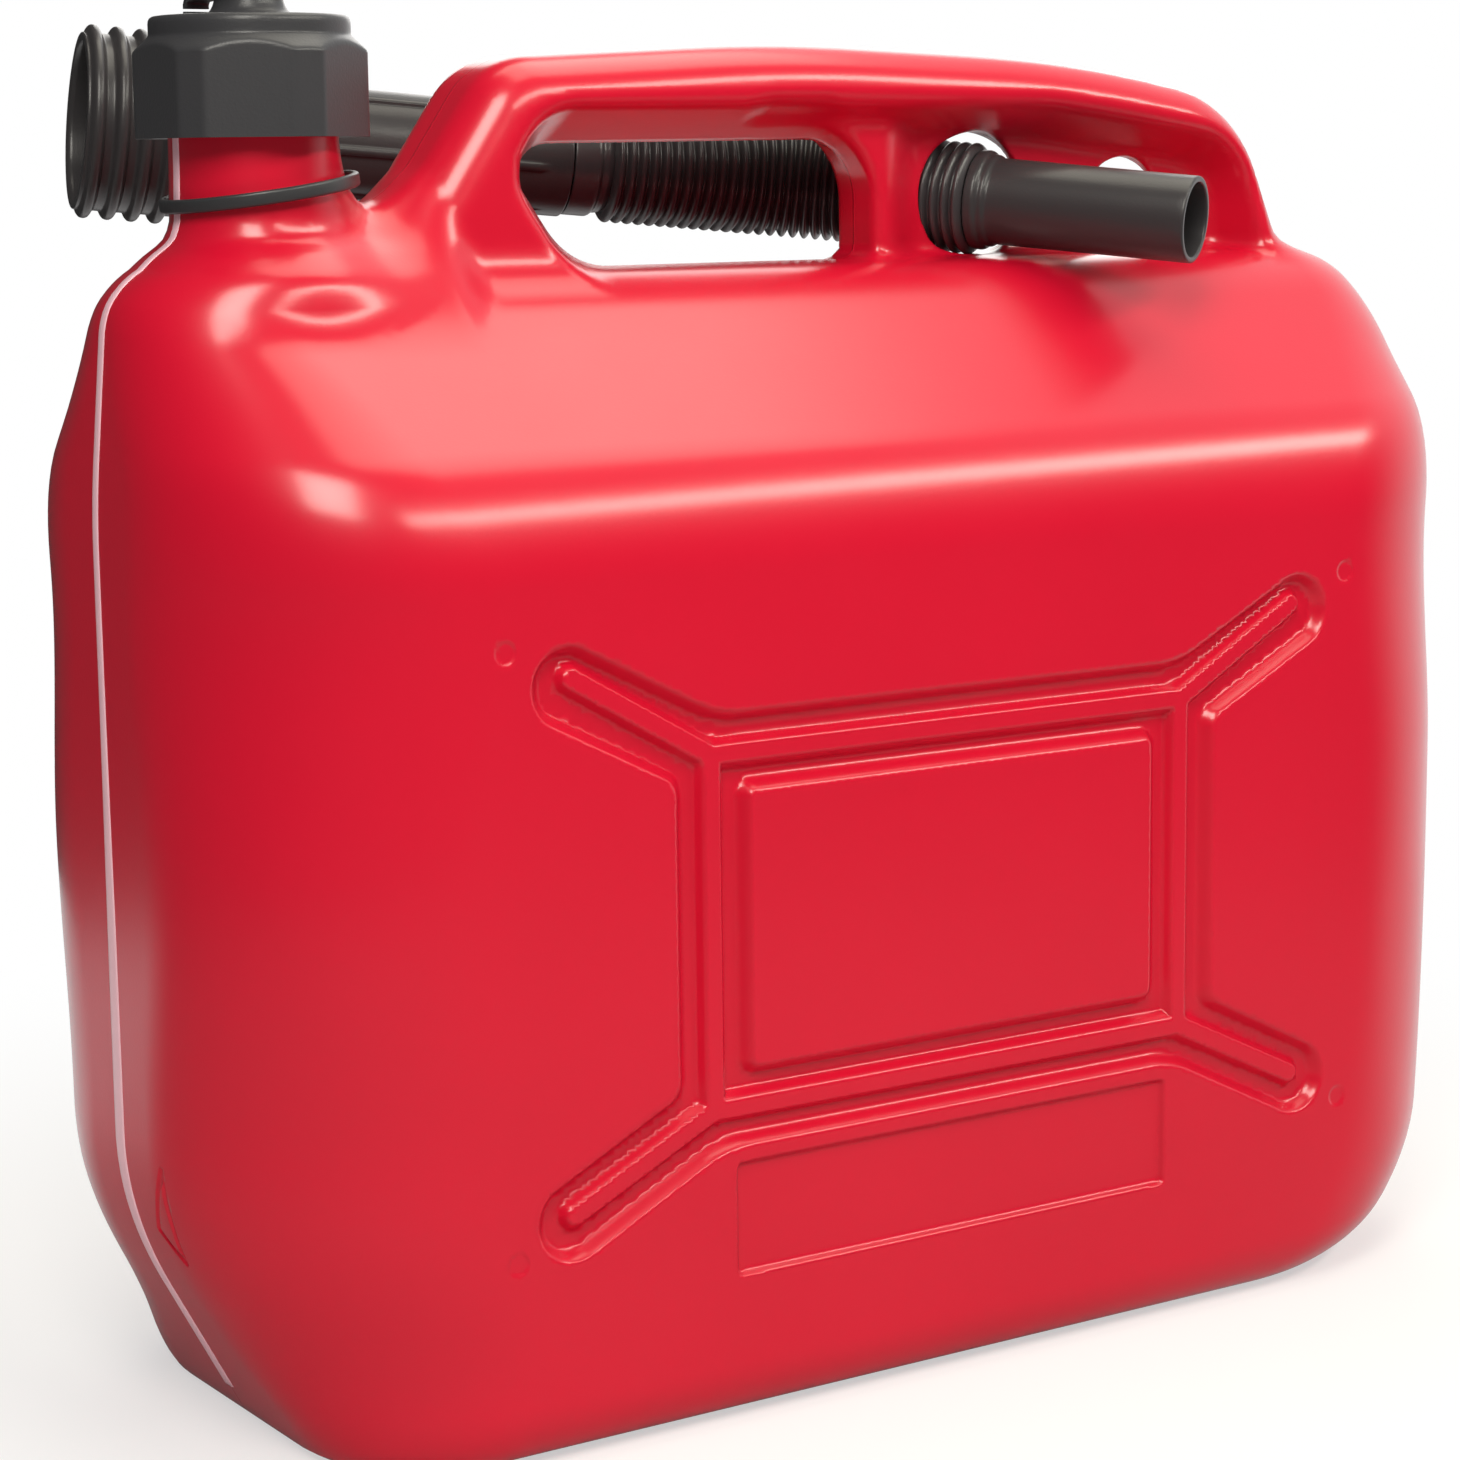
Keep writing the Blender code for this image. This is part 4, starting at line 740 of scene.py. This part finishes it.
settle_shape(shell_rule, shape, 3, relaxing=3)
divide_near(shape, near_relief(2.6))
divide_near(shape, near_rim)
divide_near(shape, near_mark(4))
settle_shape(shell_rule, shape, 2, relaxing=1)
divide_near(shape, near_relief(1.4))
divide_near(shape, near_mark(2.2))
settle_shape(shell_rule, shape, 2, relaxing=1)
divide_near(shape, near_mark(1.3))
settle_shape(shell_rule, shape, 2)
bmesh.ops.recalc_face_normals(shape, faces=shape.faces)
bmesh.ops.triangulate(shape, faces=[f for f in shape.faces if len(f.verts) > 4])
points = np.array([v.co for v in shape.verts])
slopes = gradient(shell_rule, points, 0.15)
smoothed(shape, shell_mesh)
shell_mesh.transform(Matrix.Scale(MM, 4))
shell_mesh.update()
length = np.linalg.norm(slopes, axis=1)[:, None]
shell_mesh.normals_split_custom_set_from_vertices((slopes / np.maximum(length, 1e-9)).tolist())


def add_piece(name, mesh, look, body, replaced=()):
    """Link a mesh as a finished piece that rides on a body and stands for CAD nodes."""
    piece = bpy.data.objects.new(name, mesh)
    bpy.context.scene.collection.objects.link(piece)
    mesh.materials.clear()
    mesh.materials.append(look)
    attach(piece, body)
    if replaced:
        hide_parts(*replaced)


add_piece("can_shell", shell_mesh, red_shell, "can", ["can_body"])
print("shell triangles", sum(len(p.vertices) - 2 for p in shell_mesh.polygons))

# %% [markdown]
# ## Sight stripe
# A strip of clearer plastic runs down the neck end in the parting plane, so the level of the fuel can be seen against
# it. It lies on the shell, so its points are found on the shell's own rule: rows of points are guessed from the two
# outlines of neck and tank, settled on the surface, and lifted a little. It is wider towards the foot.

# %% Make the stripe
heights = np.concatenate([np.linspace(284, 262, 14), np.linspace(261, 252, 14), np.linspace(250, 200, 30),
                          np.linspace(196, 60, 34), np.linspace(57, 8, 30)])
neck_side = NECK_X - smooth_curve(heights, NECK_HEIGHTS, NECK_RADII)
tank_side = -end_reach(np.full_like(heights, -1.0), np.minimum(heights, 254))
guess = np.where(heights > 256, neck_side, np.where(heights > 232, np.minimum(neck_side, tank_side), tank_side))
half_width = smooth_curve(heights, [8, 60, 110, 150, 284], [2.4, 2.4, 2.2, 1.7, 1.6])
sections = []
for share, lift in ((-1, -0.5), (-1, 0.03), (-0.7, 0.2), (0.7, 0.2), (1, 0.03), (1, -0.5)):
    row = np.stack([guess, share * half_width, heights], axis=1)
    row = settle(shell_rule, row, 14)
    slope = gradient(shell_rule, row)
    sections.append(row + slope / np.linalg.norm(slope, axis=1)[:, None] * lift)
sections = np.stack(sections, axis=1)


def skin_rings(name, rings, closed=False, caps=True):
    """Mesh from rings of equal counts, in millimetres."""
    shape = bmesh.new()
    made = [[shape.verts.new(Vector(p) * MM) for p in ring] for ring in rings]
    pairs = list(zip(made, made[1:]))
    if closed:
        pairs.append((made[-1], made[0]))
    for low, high in pairs:
        for i in range(len(low)):
            j = (i + 1) % len(low)
            shape.faces.new((low[i], low[j], high[j], high[i]))
    if caps and not closed:
        shape.faces.new(list(reversed(made[0])))
        shape.faces.new(made[-1])
    bmesh.ops.remove_doubles(shape, verts=shape.verts, dist=0.0000005)
    bmesh.ops.recalc_face_normals(shape, faces=shape.faces)
    return smoothed(shape, bpy.data.meshes.new(name))


add_piece("stripe", skin_rings("stripe", sections), pale_stripe, "can", ["sight_stripe"])
print("stripe length", round(float(np.linalg.norm(np.diff(sections[:, 2], axis=0), axis=1).sum())), "mm")

# %% [markdown]
# ## Turned pieces
# Cap, spout and nozzle are all turned about an axis, but not all are plainly round: the cap has flats and the spout
# has fins. So the rings of a turned piece are made by a function that may change the radius by angle, from a profile
# of radius and height. Corners in the profile are rounded first, because a real moulding has no sharp edge.


# %% Profiles and turning
def round_profile(points, steps=4):
    """Open profile from (radius, height, fillet) points, with its corners rounded."""
    line = []
    for i, (r, h, fillet) in enumerate(points):
        here = Vector((r, h))
        if fillet == 0 or i in (0, len(points) - 1):
            line.append(here)
            continue
        back = Vector(points[i - 1][:2]) - here
        ahead = Vector(points[i + 1][:2]) - here
        reach = min(fillet, back.length * 0.49, ahead.length * 0.49)
        start = here + back.normalized() * reach
        end = here + ahead.normalized() * reach
        for k in range(steps + 1):
            t = k / steps
            line.append(start * (1 - t) ** 2 + here * 2 * t * (1 - t) + end * t * t)
    return line


def divide_long(line, longest):
    """Put more points on the long stretches of a profile."""
    made = [line[0]]
    for a, b in zip(line, line[1:]):
        count = max(int(math.ceil((b - a).length / longest)), 1)
        made += [a.lerp(b, k / count) for k in range(1, count + 1)]
    return made


def turn_profile(line, sides, radius_at=None):
    """Rings about Z for a number of sides or an array of angles; radius_at may change the radius by angle."""
    angles = np.linspace(0, 2 * math.pi, sides, endpoint=False) if isinstance(sides, int) else sides
    rings = []
    for r, h in line:
        radii = radius_at(angles, r, h) if radius_at else np.full(len(angles), r)
        rings.append(np.stack([radii * np.cos(angles), radii * np.sin(angles), np.full(len(angles), h)], axis=1))
    return rings


def placed(mesh, matrix):
    """Move a mesh, with the lengths of the matrix in metres."""
    mesh.transform(matrix)
    mesh.update()
    return mesh


def turned(name, points, longest, sides, matrix, radius_at=None, closed=True):
    """Turned piece from the points of its profile, set in place."""
    rings = turn_profile(divide_long(round_profile(points), longest), sides, radius_at)
    return placed(skin_rings(name, rings, closed, caps=False), matrix)


# %% [markdown]
# ## Screw cap
# The cap's skirt has six wide flats with narrow ones between them for the fingers. Above them a cone leads to a round
# disc. Where the cone meets the flats, the edge rises and falls in a wave; taking the smaller of the two radii at each
# angle gives that wave by itself. On top are a waisted boss and the stud that holds the tether.

# %% Make the cap
WIDE_FLAT = 25.0 * math.cos(math.radians(22.6))
NARROW_FLAT = 25.0 * math.cos(math.radians(7.4))
FLAT_TURN = math.radians(4.0)
BORE_RADIUS = 20.3
FLATS_FOOT = 282.0


def skirt_radius(angles):
    """Radius of the twelve-sided skirt at angles."""
    wide = (angles - FLAT_TURN + math.pi / 6) % (math.pi / 3) - math.pi / 6
    narrow = (angles - FLAT_TURN) % (math.pi / 3) - math.pi / 6
    return soft_min(WIDE_FLAT / np.cos(wide), NARROW_FLAT / np.cos(narrow), 0.35)


def cap_radius(angles, radius, height):
    """Radius of the cap's outside: the profile, cut by the flats."""
    if radius < BORE_RADIUS or height < FLATS_FOOT:
        return np.full(len(angles), radius)
    return soft_min(np.full(len(angles), radius), skirt_radius(angles), 0.5)


CAP_POINTS = [
    (0, 316.5, 0), (5.4, 316.5, 0.9), (6.2, 315.2, 0.6), (6.2, 314.2, 0.3), (4.0, 314.2, 0.3), (4.0, 312.0, 0.3),
    (7.2, 312.0, 0.5), (7.5, 310.6, 0.8), (8.3, 309.0, 0.9), (9.9, 308.1, 0.7), (21.4, 308.1, 1.6), (21.4, 303.9, 0.5),
    (25.6, 300.0, 0.3), (25.6, 282.6, 0.5), (23.3, 282.6, 0.4), (20.2, 283.6, 0.3), (20.2, 304.3, 0), (0, 304.3, 0),
]
cap_mesh = turned("cap", CAP_POINTS, 0.9, 240, Matrix.Translation((NECK_X * MM, 0, 0)), cap_radius, closed=False)
add_piece("cap", cap_mesh, cap_black, "cap", ["screw_cap"])
print("cap faces", len(cap_mesh.polygons))

# %% [markdown]
# ## Thread on the neck
# The thread is hidden while the cap is closed and shows below its skirt when the cap is turned up. It follows a helix,
# so Geometry Nodes make it: a helix curve is swept with a small round section. The tree's inputs are the thread's own
# sizes, so the same tree would serve another neck.


# %% Thread by Geometry Nodes
def named_tree(name, sizes):
    """Node tree with a geometry output and named inputs, and the identifiers of those inputs."""
    tree = bpy.data.node_groups.new(name, "GeometryNodeTree")
    tree.interface.new_socket(name="Geometry", in_out="INPUT", socket_type="NodeSocketGeometry")
    tree.interface.new_socket(name="Geometry", in_out="OUTPUT", socket_type="NodeSocketGeometry")
    keys = {}
    for label, (kind, value) in sizes.items():
        socket = tree.interface.new_socket(name=label, in_out="INPUT", socket_type=kind)
        socket.default_value = value
        keys[label] = socket.identifier
    source = tree.nodes.new("NodeGroupInput")
    sink = tree.nodes.new("NodeGroupOutput")
    return tree, source, sink, keys


def grown(name, start_mesh, tree, keys, sizes):
    """Run a node tree on a mesh with the given sizes, and return the result as a plain mesh."""
    carrier = bpy.data.objects.new(name + "_carrier", start_mesh)
    bpy.context.scene.collection.objects.link(carrier)
    step = carrier.modifiers.new(name, "NODES")
    step.node_group = tree
    for label, (_, value) in sizes.items():
        step[keys[label]] = value
    evaluated = carrier.evaluated_get(bpy.context.evaluated_depsgraph_get())
    mesh = bpy.data.meshes.new_from_object(evaluated)
    mesh.name = name
    carrier.modifiers.clear()
    bpy.data.objects.remove(carrier)
    shape = bmesh.new()
    shape.from_mesh(mesh)
    bmesh.ops.remove_doubles(shape, verts=shape.verts, dist=0.000001)
    bmesh.ops.recalc_face_normals(shape, faces=shape.faces)
    return smoothed(shape, mesh)


def swept(tree, sink, curve, radius, sides, look, scale=None):
    """Finish a tree: a circle swept along a curve, with realised instances and a material."""
    circle = tree.nodes.new("GeometryNodeCurvePrimitiveCircle")
    sweep = tree.nodes.new("GeometryNodeCurveToMesh")
    real = tree.nodes.new("GeometryNodeRealizeInstances")
    paint = tree.nodes.new("GeometryNodeSetMaterial")
    for value, socket in (
        (radius, circle.inputs["Radius"]), (sides, circle.inputs["Resolution"]),
        (curve, sweep.inputs["Curve"]), (circle.outputs[0], sweep.inputs["Profile Curve"]),
        (True, sweep.inputs["Fill Caps"]), (sweep.outputs[0], real.inputs[0]),
        (real.outputs[0], paint.inputs["Geometry"]), (look, paint.inputs["Material"]),
        (paint.outputs["Geometry"], sink.inputs[0]),
    ):
        put(tree, value, socket)
    if scale:
        tree.links.new(scale, sweep.inputs["Scale"])


THREAD_SIZES = {
    "Turns": ("NodeSocketFloat", 2.5),
    "Pitch": ("NodeSocketFloat", 5.5 * MM),
    "Core radius": ("NodeSocketFloat", 18.3 * MM),
    "Section": ("NodeSocketFloat", 1.3 * MM),
}
THREAD_FOOT = 284.6
tree, source, sink, keys = named_tree("neck_thread", THREAD_SIZES)
asked = source.outputs
helix = tree.nodes.new("GeometryNodeCurveSpiral")
rise = node_math(tree, "MULTIPLY", asked["Turns"], asked["Pitch"])
for name, value in (("Resolution", 64), ("Rotations", asked["Turns"]), ("Height", rise),
                    ("Start Radius", asked["Core radius"]), ("End Radius", asked["Core radius"])):
    put(tree, value, helix.inputs[name])
swept(tree, sink, helix.outputs[0], asked["Section"], 10, red_shell)
thread_mesh = grown("neck_thread", bpy.data.meshes.new("thread_start"), tree, keys, THREAD_SIZES)
placed(thread_mesh, Matrix.Translation((NECK_X * MM, 0, THREAD_FOOT * MM)))
add_piece("neck_thread", thread_mesh, red_shell, "can")
print("thread faces", len(thread_mesh.polygons))

# %% [markdown]
# ## Tether
# A flat ring lies loosely round the neck, tilted, and a strap rises from it behind the cap to an eye on the cap's
# stud. Ring, strap and eye are flat strips with rounded edges, so one function sweeps a rounded section along a line
# of points; the section's wide side is given by a direction for each point.


# %% Sweep a flat section
def flat_section(width, thickness, steps=4):
    """Points of a flat section with rounded edges."""
    radius = min(width, thickness) / 2 * 0.8
    points = []
    for sx, sy, start in ((1, 1, 0), (-1, 1, 90), (-1, -1, 180), (1, -1, 270)):
        for k in range(steps + 1):
            angle = math.radians(start + 90 * k / steps)
            points.append((sx * (width / 2 - radius) + radius * math.cos(angle),
                           sy * (thickness / 2 - radius) + radius * math.sin(angle)))
    return points


def sweep_strip(line, wide_sides, width, thickness, closed=False):
    """Rings of a flat strip; each wide side is a direction across the strip."""
    line = [Vector(p) for p in line]
    section = flat_section(width, thickness)
    rings = []
    for i, point in enumerate(line):
        before = line[i - 1] if closed or i else point
        after = line[(i + 1) % len(line)] if closed or i < len(line) - 1 else point
        run = (after - before).normalized()
        wide = Vector(wide_sides[i])
        wide = (wide - run * wide.dot(run)).normalized()
        thick = run.cross(wide)
        rings.append([point + wide * a + thick * b for a, b in section])
    return rings


def smooth_line(points, count):
    """Even points on a smooth line through given points."""
    points = np.array(points, float)
    runs = np.concatenate([[0], np.cumsum(np.linalg.norm(np.diff(points, axis=0), axis=1))])
    at = np.linspace(0, runs[-1], count)
    return np.stack([smooth_curve(at, runs, points[:, i]) for i in range(3)], axis=1)


def joined(name, meshes):
    """One mesh from several."""
    shape = bmesh.new()
    for mesh in meshes:
        shape.from_mesh(mesh)
    return smoothed(shape, bpy.data.meshes.new(name))


def round_band(name, centre, radius, width, thickness, count, tilt=0):
    """Closed band round the neck's axis, its wide side pointing outwards, tilted about Y."""
    angles = np.linspace(0, 2 * math.pi, count, endpoint=False)
    outward = [Vector((math.cos(a) * math.cos(tilt), math.sin(a), math.cos(a) * math.sin(tilt))) for a in angles]
    line = [Vector(centre) + out * radius for out in outward]
    return skin_rings(name, sweep_strip(line, outward, width, thickness, closed=True), closed=True)


def flat_strap(name, places, count):
    """Strap through given places, its wide side along X."""
    line = smooth_line([(STRAP_X, y, z) for y, z in places], count)
    return skin_rings(name, sweep_strip(line, [(1, 0, 0)] * count, STRAP_WIDTH, STRAP_THICKNESS))


STRAP_X = -133.9
STRAP_WIDTH = 6.0
STRAP_THICKNESS = 1.5
EYE_Z = 313.1
RING_RADIUS = 20.8
EYE_RADIUS = 6.4
RING_TILT = math.radians(8)
ring_mesh = round_band("ring", (STRAP_X, 0, 271.2), RING_RADIUS, 1.6, 3.0, 96, RING_TILT)
strap_mesh = flat_strap("strap", [(21.0, 271.4), (25.5, 272.0), (28.2, 274.6), (28.8, 281), (28.8, 295),
                                  (28.8, 310.2)], 40)
add_piece("tether", joined("tether", [ring_mesh, strap_mesh]), strap_black, "can", ["cap_tether"])

eye_mesh = round_band("eye", (NECK_X, 0, EYE_Z), EYE_RADIUS, 4.0, STRAP_THICKNESS, 64)
tab_mesh = flat_strap("tab", [(7.0, EYE_Z), (16.0, EYE_Z), (25.0, EYE_Z), (28.2, 312.5), (28.8, 311.6),
                              (28.8, 310.8)], 30)
add_piece("tether_end", joined("tether_end", [eye_mesh, tab_mesh]), strap_black, "cap_rider", ["tether_eye"])

# %% [markdown]
# ## Where the spout lies
# The spout leaves its mouth behind the cap, runs level along the back of the shoulder, bends towards the front and
# passes the web in the middle of its hole. Its centre line is straight, then an arc, then straight again, falling
# evenly all the way, so a point on it follows from how far along it lies.

# %% The spout's centre line
FALL = math.radians(5.4)
BASE_WAY = math.radians(16.0)
NOZZLE_WAY = math.radians(57.8)
BEND_RADIUS = 55.0
END_RUN = 20.0
START_RUN = 33.5
CUFF_LENGTH = 10
BASE_LENGTH = 117
HOSE_END = 2.6
CROSSING = Vector((56.0, 0, 266.9))


def way(angle):
    """Unit vector along the spout."""
    return Vector((math.cos(angle) * math.cos(FALL), -math.sin(angle) * math.cos(FALL), -math.sin(FALL)))


BEND_LENGTH = BEND_RADIUS * (NOZZLE_WAY - BASE_WAY)
bend_end = CROSSING - way(NOZZLE_WAY) * END_RUN


def bend_point(back):
    """Point on the arc, a run back from its end."""
    angle = NOZZLE_WAY - back / BEND_RADIUS
    flat = BEND_RADIUS * math.cos(FALL)
    return Vector((bend_end.x - flat * (math.sin(NOZZLE_WAY) - math.sin(angle)),
                   bend_end.y + flat * (math.cos(angle) - math.cos(NOZZLE_WAY)),
                   bend_end.z + back * math.sin(FALL)))


ribs_start = bend_point(BEND_LENGTH) - way(BASE_WAY) * START_RUN
cuff_start = ribs_start - way(BASE_WAY) * CUFF_LENGTH
mouth = cuff_start - way(BASE_WAY) * BASE_LENGTH
RIBS_LENGTH = START_RUN + BEND_LENGTH + END_RUN + HOSE_END


def hose_point(run):
    """Point on the hose's centre line, a run on from the first rib."""
    if run <= START_RUN:
        return ribs_start + way(BASE_WAY) * run
    if run < START_RUN + BEND_LENGTH:
        return bend_point(START_RUN + BEND_LENGTH - run)
    return bend_end + way(NOZZLE_WAY) * (run - START_RUN - BEND_LENGTH)


def on_axis(start, angle):
    """Matrix that stands a turned piece on the spout's axis, in metres."""
    turn = Vector((0, 0, 1)).rotation_difference(way(angle)).to_matrix().to_4x4()
    return Matrix.Translation(start * MM) @ turn


print("mouth", [round(v, 1) for v in mouth], "ribs", round(RIBS_LENGTH, 1), "mm")

# %% [markdown]
# ## Spout base
# The mouth screws onto the neck, so it is wide and has rings outside for grip. A cone leads to a narrow tube, and six
# fins stiffen that tube. They stand along it and run out on the cone, so the radius is raised in six narrow sectors.
# The rings have extra points at the fins' edges, so the edges come out crisp with few faces.

# %% Make the spout base
FINS = 6
FIN_TURN = math.radians(22)
FIN_HALF = 0.85
FIN_HEIGHT = 0.8
FIN_FOOT = 42
FIN_TOP = 110
TUBE_RADIUS = 13.0
sector = np.radians([-26, -21, -16, -11, -7, -4.7, -3.7, -2.9, 0, 2.9, 3.7, 4.7, 7, 11, 16, 21, 26])
fin_angles = np.concatenate([FIN_TURN + 2 * math.pi * k / FINS + sector for k in range(FINS)])


def base_radius(angles, radius, height):
    """Radius of the base's outside with its fins."""
    if radius < 12.6 or height > 118:
        return np.full(len(angles), radius)
    fade = float(smooth_step((height - FIN_FOOT) / 6) * smooth_step((FIN_TOP - height) / 1.6))
    off = np.abs((angles - FIN_TURN + math.pi / FINS) % (2 * math.pi / FINS) - math.pi / FINS) * TUBE_RADIUS
    return radius + FIN_HEIGHT * fade * smooth_step((FIN_HALF + 0.15 - off) / 0.3)


base_points = [(18.6, 0, 0.3), (20.4, 0, 0.5)]
for ridge in range(4):
    foot = 5.6 * ridge + 0.7
    base_points += [(20.4, foot, 0.5), (22.3, foot + 0.9, 0.8), (22.3, foot + 2.6, 0.8), (20.4, foot + 3.6, 0.5)]
base_points += [
    (20.4, 24.2, 2.0), (17.4, 33, 4), (13.2, 48, 5), (13.0, 116.6, 0.6), (10.2, 116.6, 0.2), (10.2, 124, 0.3),
    (8.7, 124, 0.3), (8.7, 114, 0.5), (11.2, 112, 0.5), (11.2, 48, 1), (13.0, 25.8, 1), (13.0, 24, 0.3),
    (18.6, 24, 0.3), (18.6, 0, 0),
]
base_mesh = turned("spout_base_shell", base_points, 1.6, fin_angles, on_axis(mouth, BASE_WAY), base_radius)
add_piece("spout_base_shell", base_mesh, spout_black, "spout", ["spout_base"])

# %% [markdown]
# ## Ribbed hose
# The hose repeats one rib along a path, so Geometry Nodes make it: the path is resampled finely, its radius rises and
# falls with the distance along it, and a circle is swept along it. The number of ribs, the crest's radius and the
# groove's depth are inputs of the tree.

# %% Hose by Geometry Nodes
PATH_STEPS = 120
HOSE_SIZES = {
    "Ribs": ("NodeSocketInt", 34),
    "Points per rib": ("NodeSocketInt", 10),
    "Crest radius": ("NodeSocketFloat", 13.5 * MM),
    "Groove depth": ("NodeSocketFloat", 1.9 * MM),
    "Sides": ("NodeSocketInt", 64),
}
tree, source, sink, keys = named_tree("ribbed_hose", HOSE_SIZES)
asked = source.outputs
to_curve = tree.nodes.new("GeometryNodeMeshToCurve")
resample = tree.nodes.new("GeometryNodeResampleCurve")
how_far = tree.nodes.new("GeometryNodeSplineParameter")
samples = node_math(tree, "MULTIPLY_ADD", asked["Ribs"], asked["Points per rib"], 1)
phase = node_math(tree, "MULTIPLY", how_far.outputs["Factor"], asked["Ribs"])
wave = node_math(tree, "SINE", node_math(tree, "MULTIPLY", phase, math.pi))
crest = node_math(tree, "POWER", node_math(tree, "ABSOLUTE", wave), 0.9)
drop = node_math(tree, "MULTIPLY", node_math(tree, "SUBTRACT", 1, crest), asked["Groove depth"])
radius = node_math(tree, "SUBTRACT", asked["Crest radius"], drop)
tree.links.new(asked["Geometry"], to_curve.inputs[0])
tree.links.new(to_curve.outputs[0], resample.inputs["Curve"])
tree.links.new(samples, resample.inputs["Count"])
swept(tree, sink, resample.outputs[0], 1, asked["Sides"], hose_black, radius)
path_points = [hose_point(RIBS_LENGTH * i / PATH_STEPS) * MM for i in range(PATH_STEPS + 1)]
path_mesh = bpy.data.meshes.new("hose_path")
path_mesh.from_pydata(path_points, [(i, i + 1) for i in range(PATH_STEPS)], [])
hose_mesh = grown("hose", path_mesh, tree, keys, HOSE_SIZES)
CUFF_POINTS = [
    (10.9, 0, 0.2), (12.4, 0, 0.5), (12.4, 6.4, 1.2), (11.4, 7.4, 0.8), (11.4, 8.6, 0.6), (10.7, 10.4, 0.3),
    (9.6, 10.4, 0), (9.6, 8, 0.2), (10.9, 8, 0.2), (10.9, 0, 0),
]
cuff_mesh = turned("cuff", CUFF_POINTS, 1.2, 72, on_axis(cuff_start, BASE_WAY))
whole_hose = joined("hose", [hose_mesh, cuff_mesh])
add_piece("hose", whole_hose, hose_black, "spout", ["spout_hose"])
print("hose faces", len(whole_hose.polygons))

# %% [markdown]
# ## Nozzle
# The nozzle is a plain tube with a flange against the hose. Its wall shows at the open end, so the tube is turned with
# its inside too, and its end edge is rounded as a moulded one is.

# %% Make the nozzle
FLANGE_RUN = 2.9
NOZZLE_POINTS = [
    (9.0, 0, 0.2), (12.0, 0, 0.5), (12.0, 2.4, 0.8), (11.1, 3.2, 0.4), (11.1, 4.4, 0.5), (10.4, 5.2, 0.5),
    (10.35, 55, 0.55), (8.8, 55, 0.5), (8.8, 6, 0.5), (7.4, 3, 0.5), (7.4, -10, 0.3), (9.0, -10, 0.3), (9.0, 0, 0),
]
nozzle_place = on_axis(CROSSING + way(NOZZLE_WAY) * FLANGE_RUN, NOZZLE_WAY)
nozzle_mesh = turned("nozzle", NOZZLE_POINTS, 2.0, 96, nozzle_place)
add_piece("nozzle", nozzle_mesh, spout_black, "spout", ["spout_nozzle"])

# %% [markdown]
# ## The pieces that stay
# The seal in the cap and the washer in the spout's mouth already have their true shape in the imported model, so they
# only take the rubber finish.

# %% Dress the rest and finish
for name in ("cap_seal", "spout_washer"):
    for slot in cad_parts[name].material_slots:
        slot.material = seal_rubber
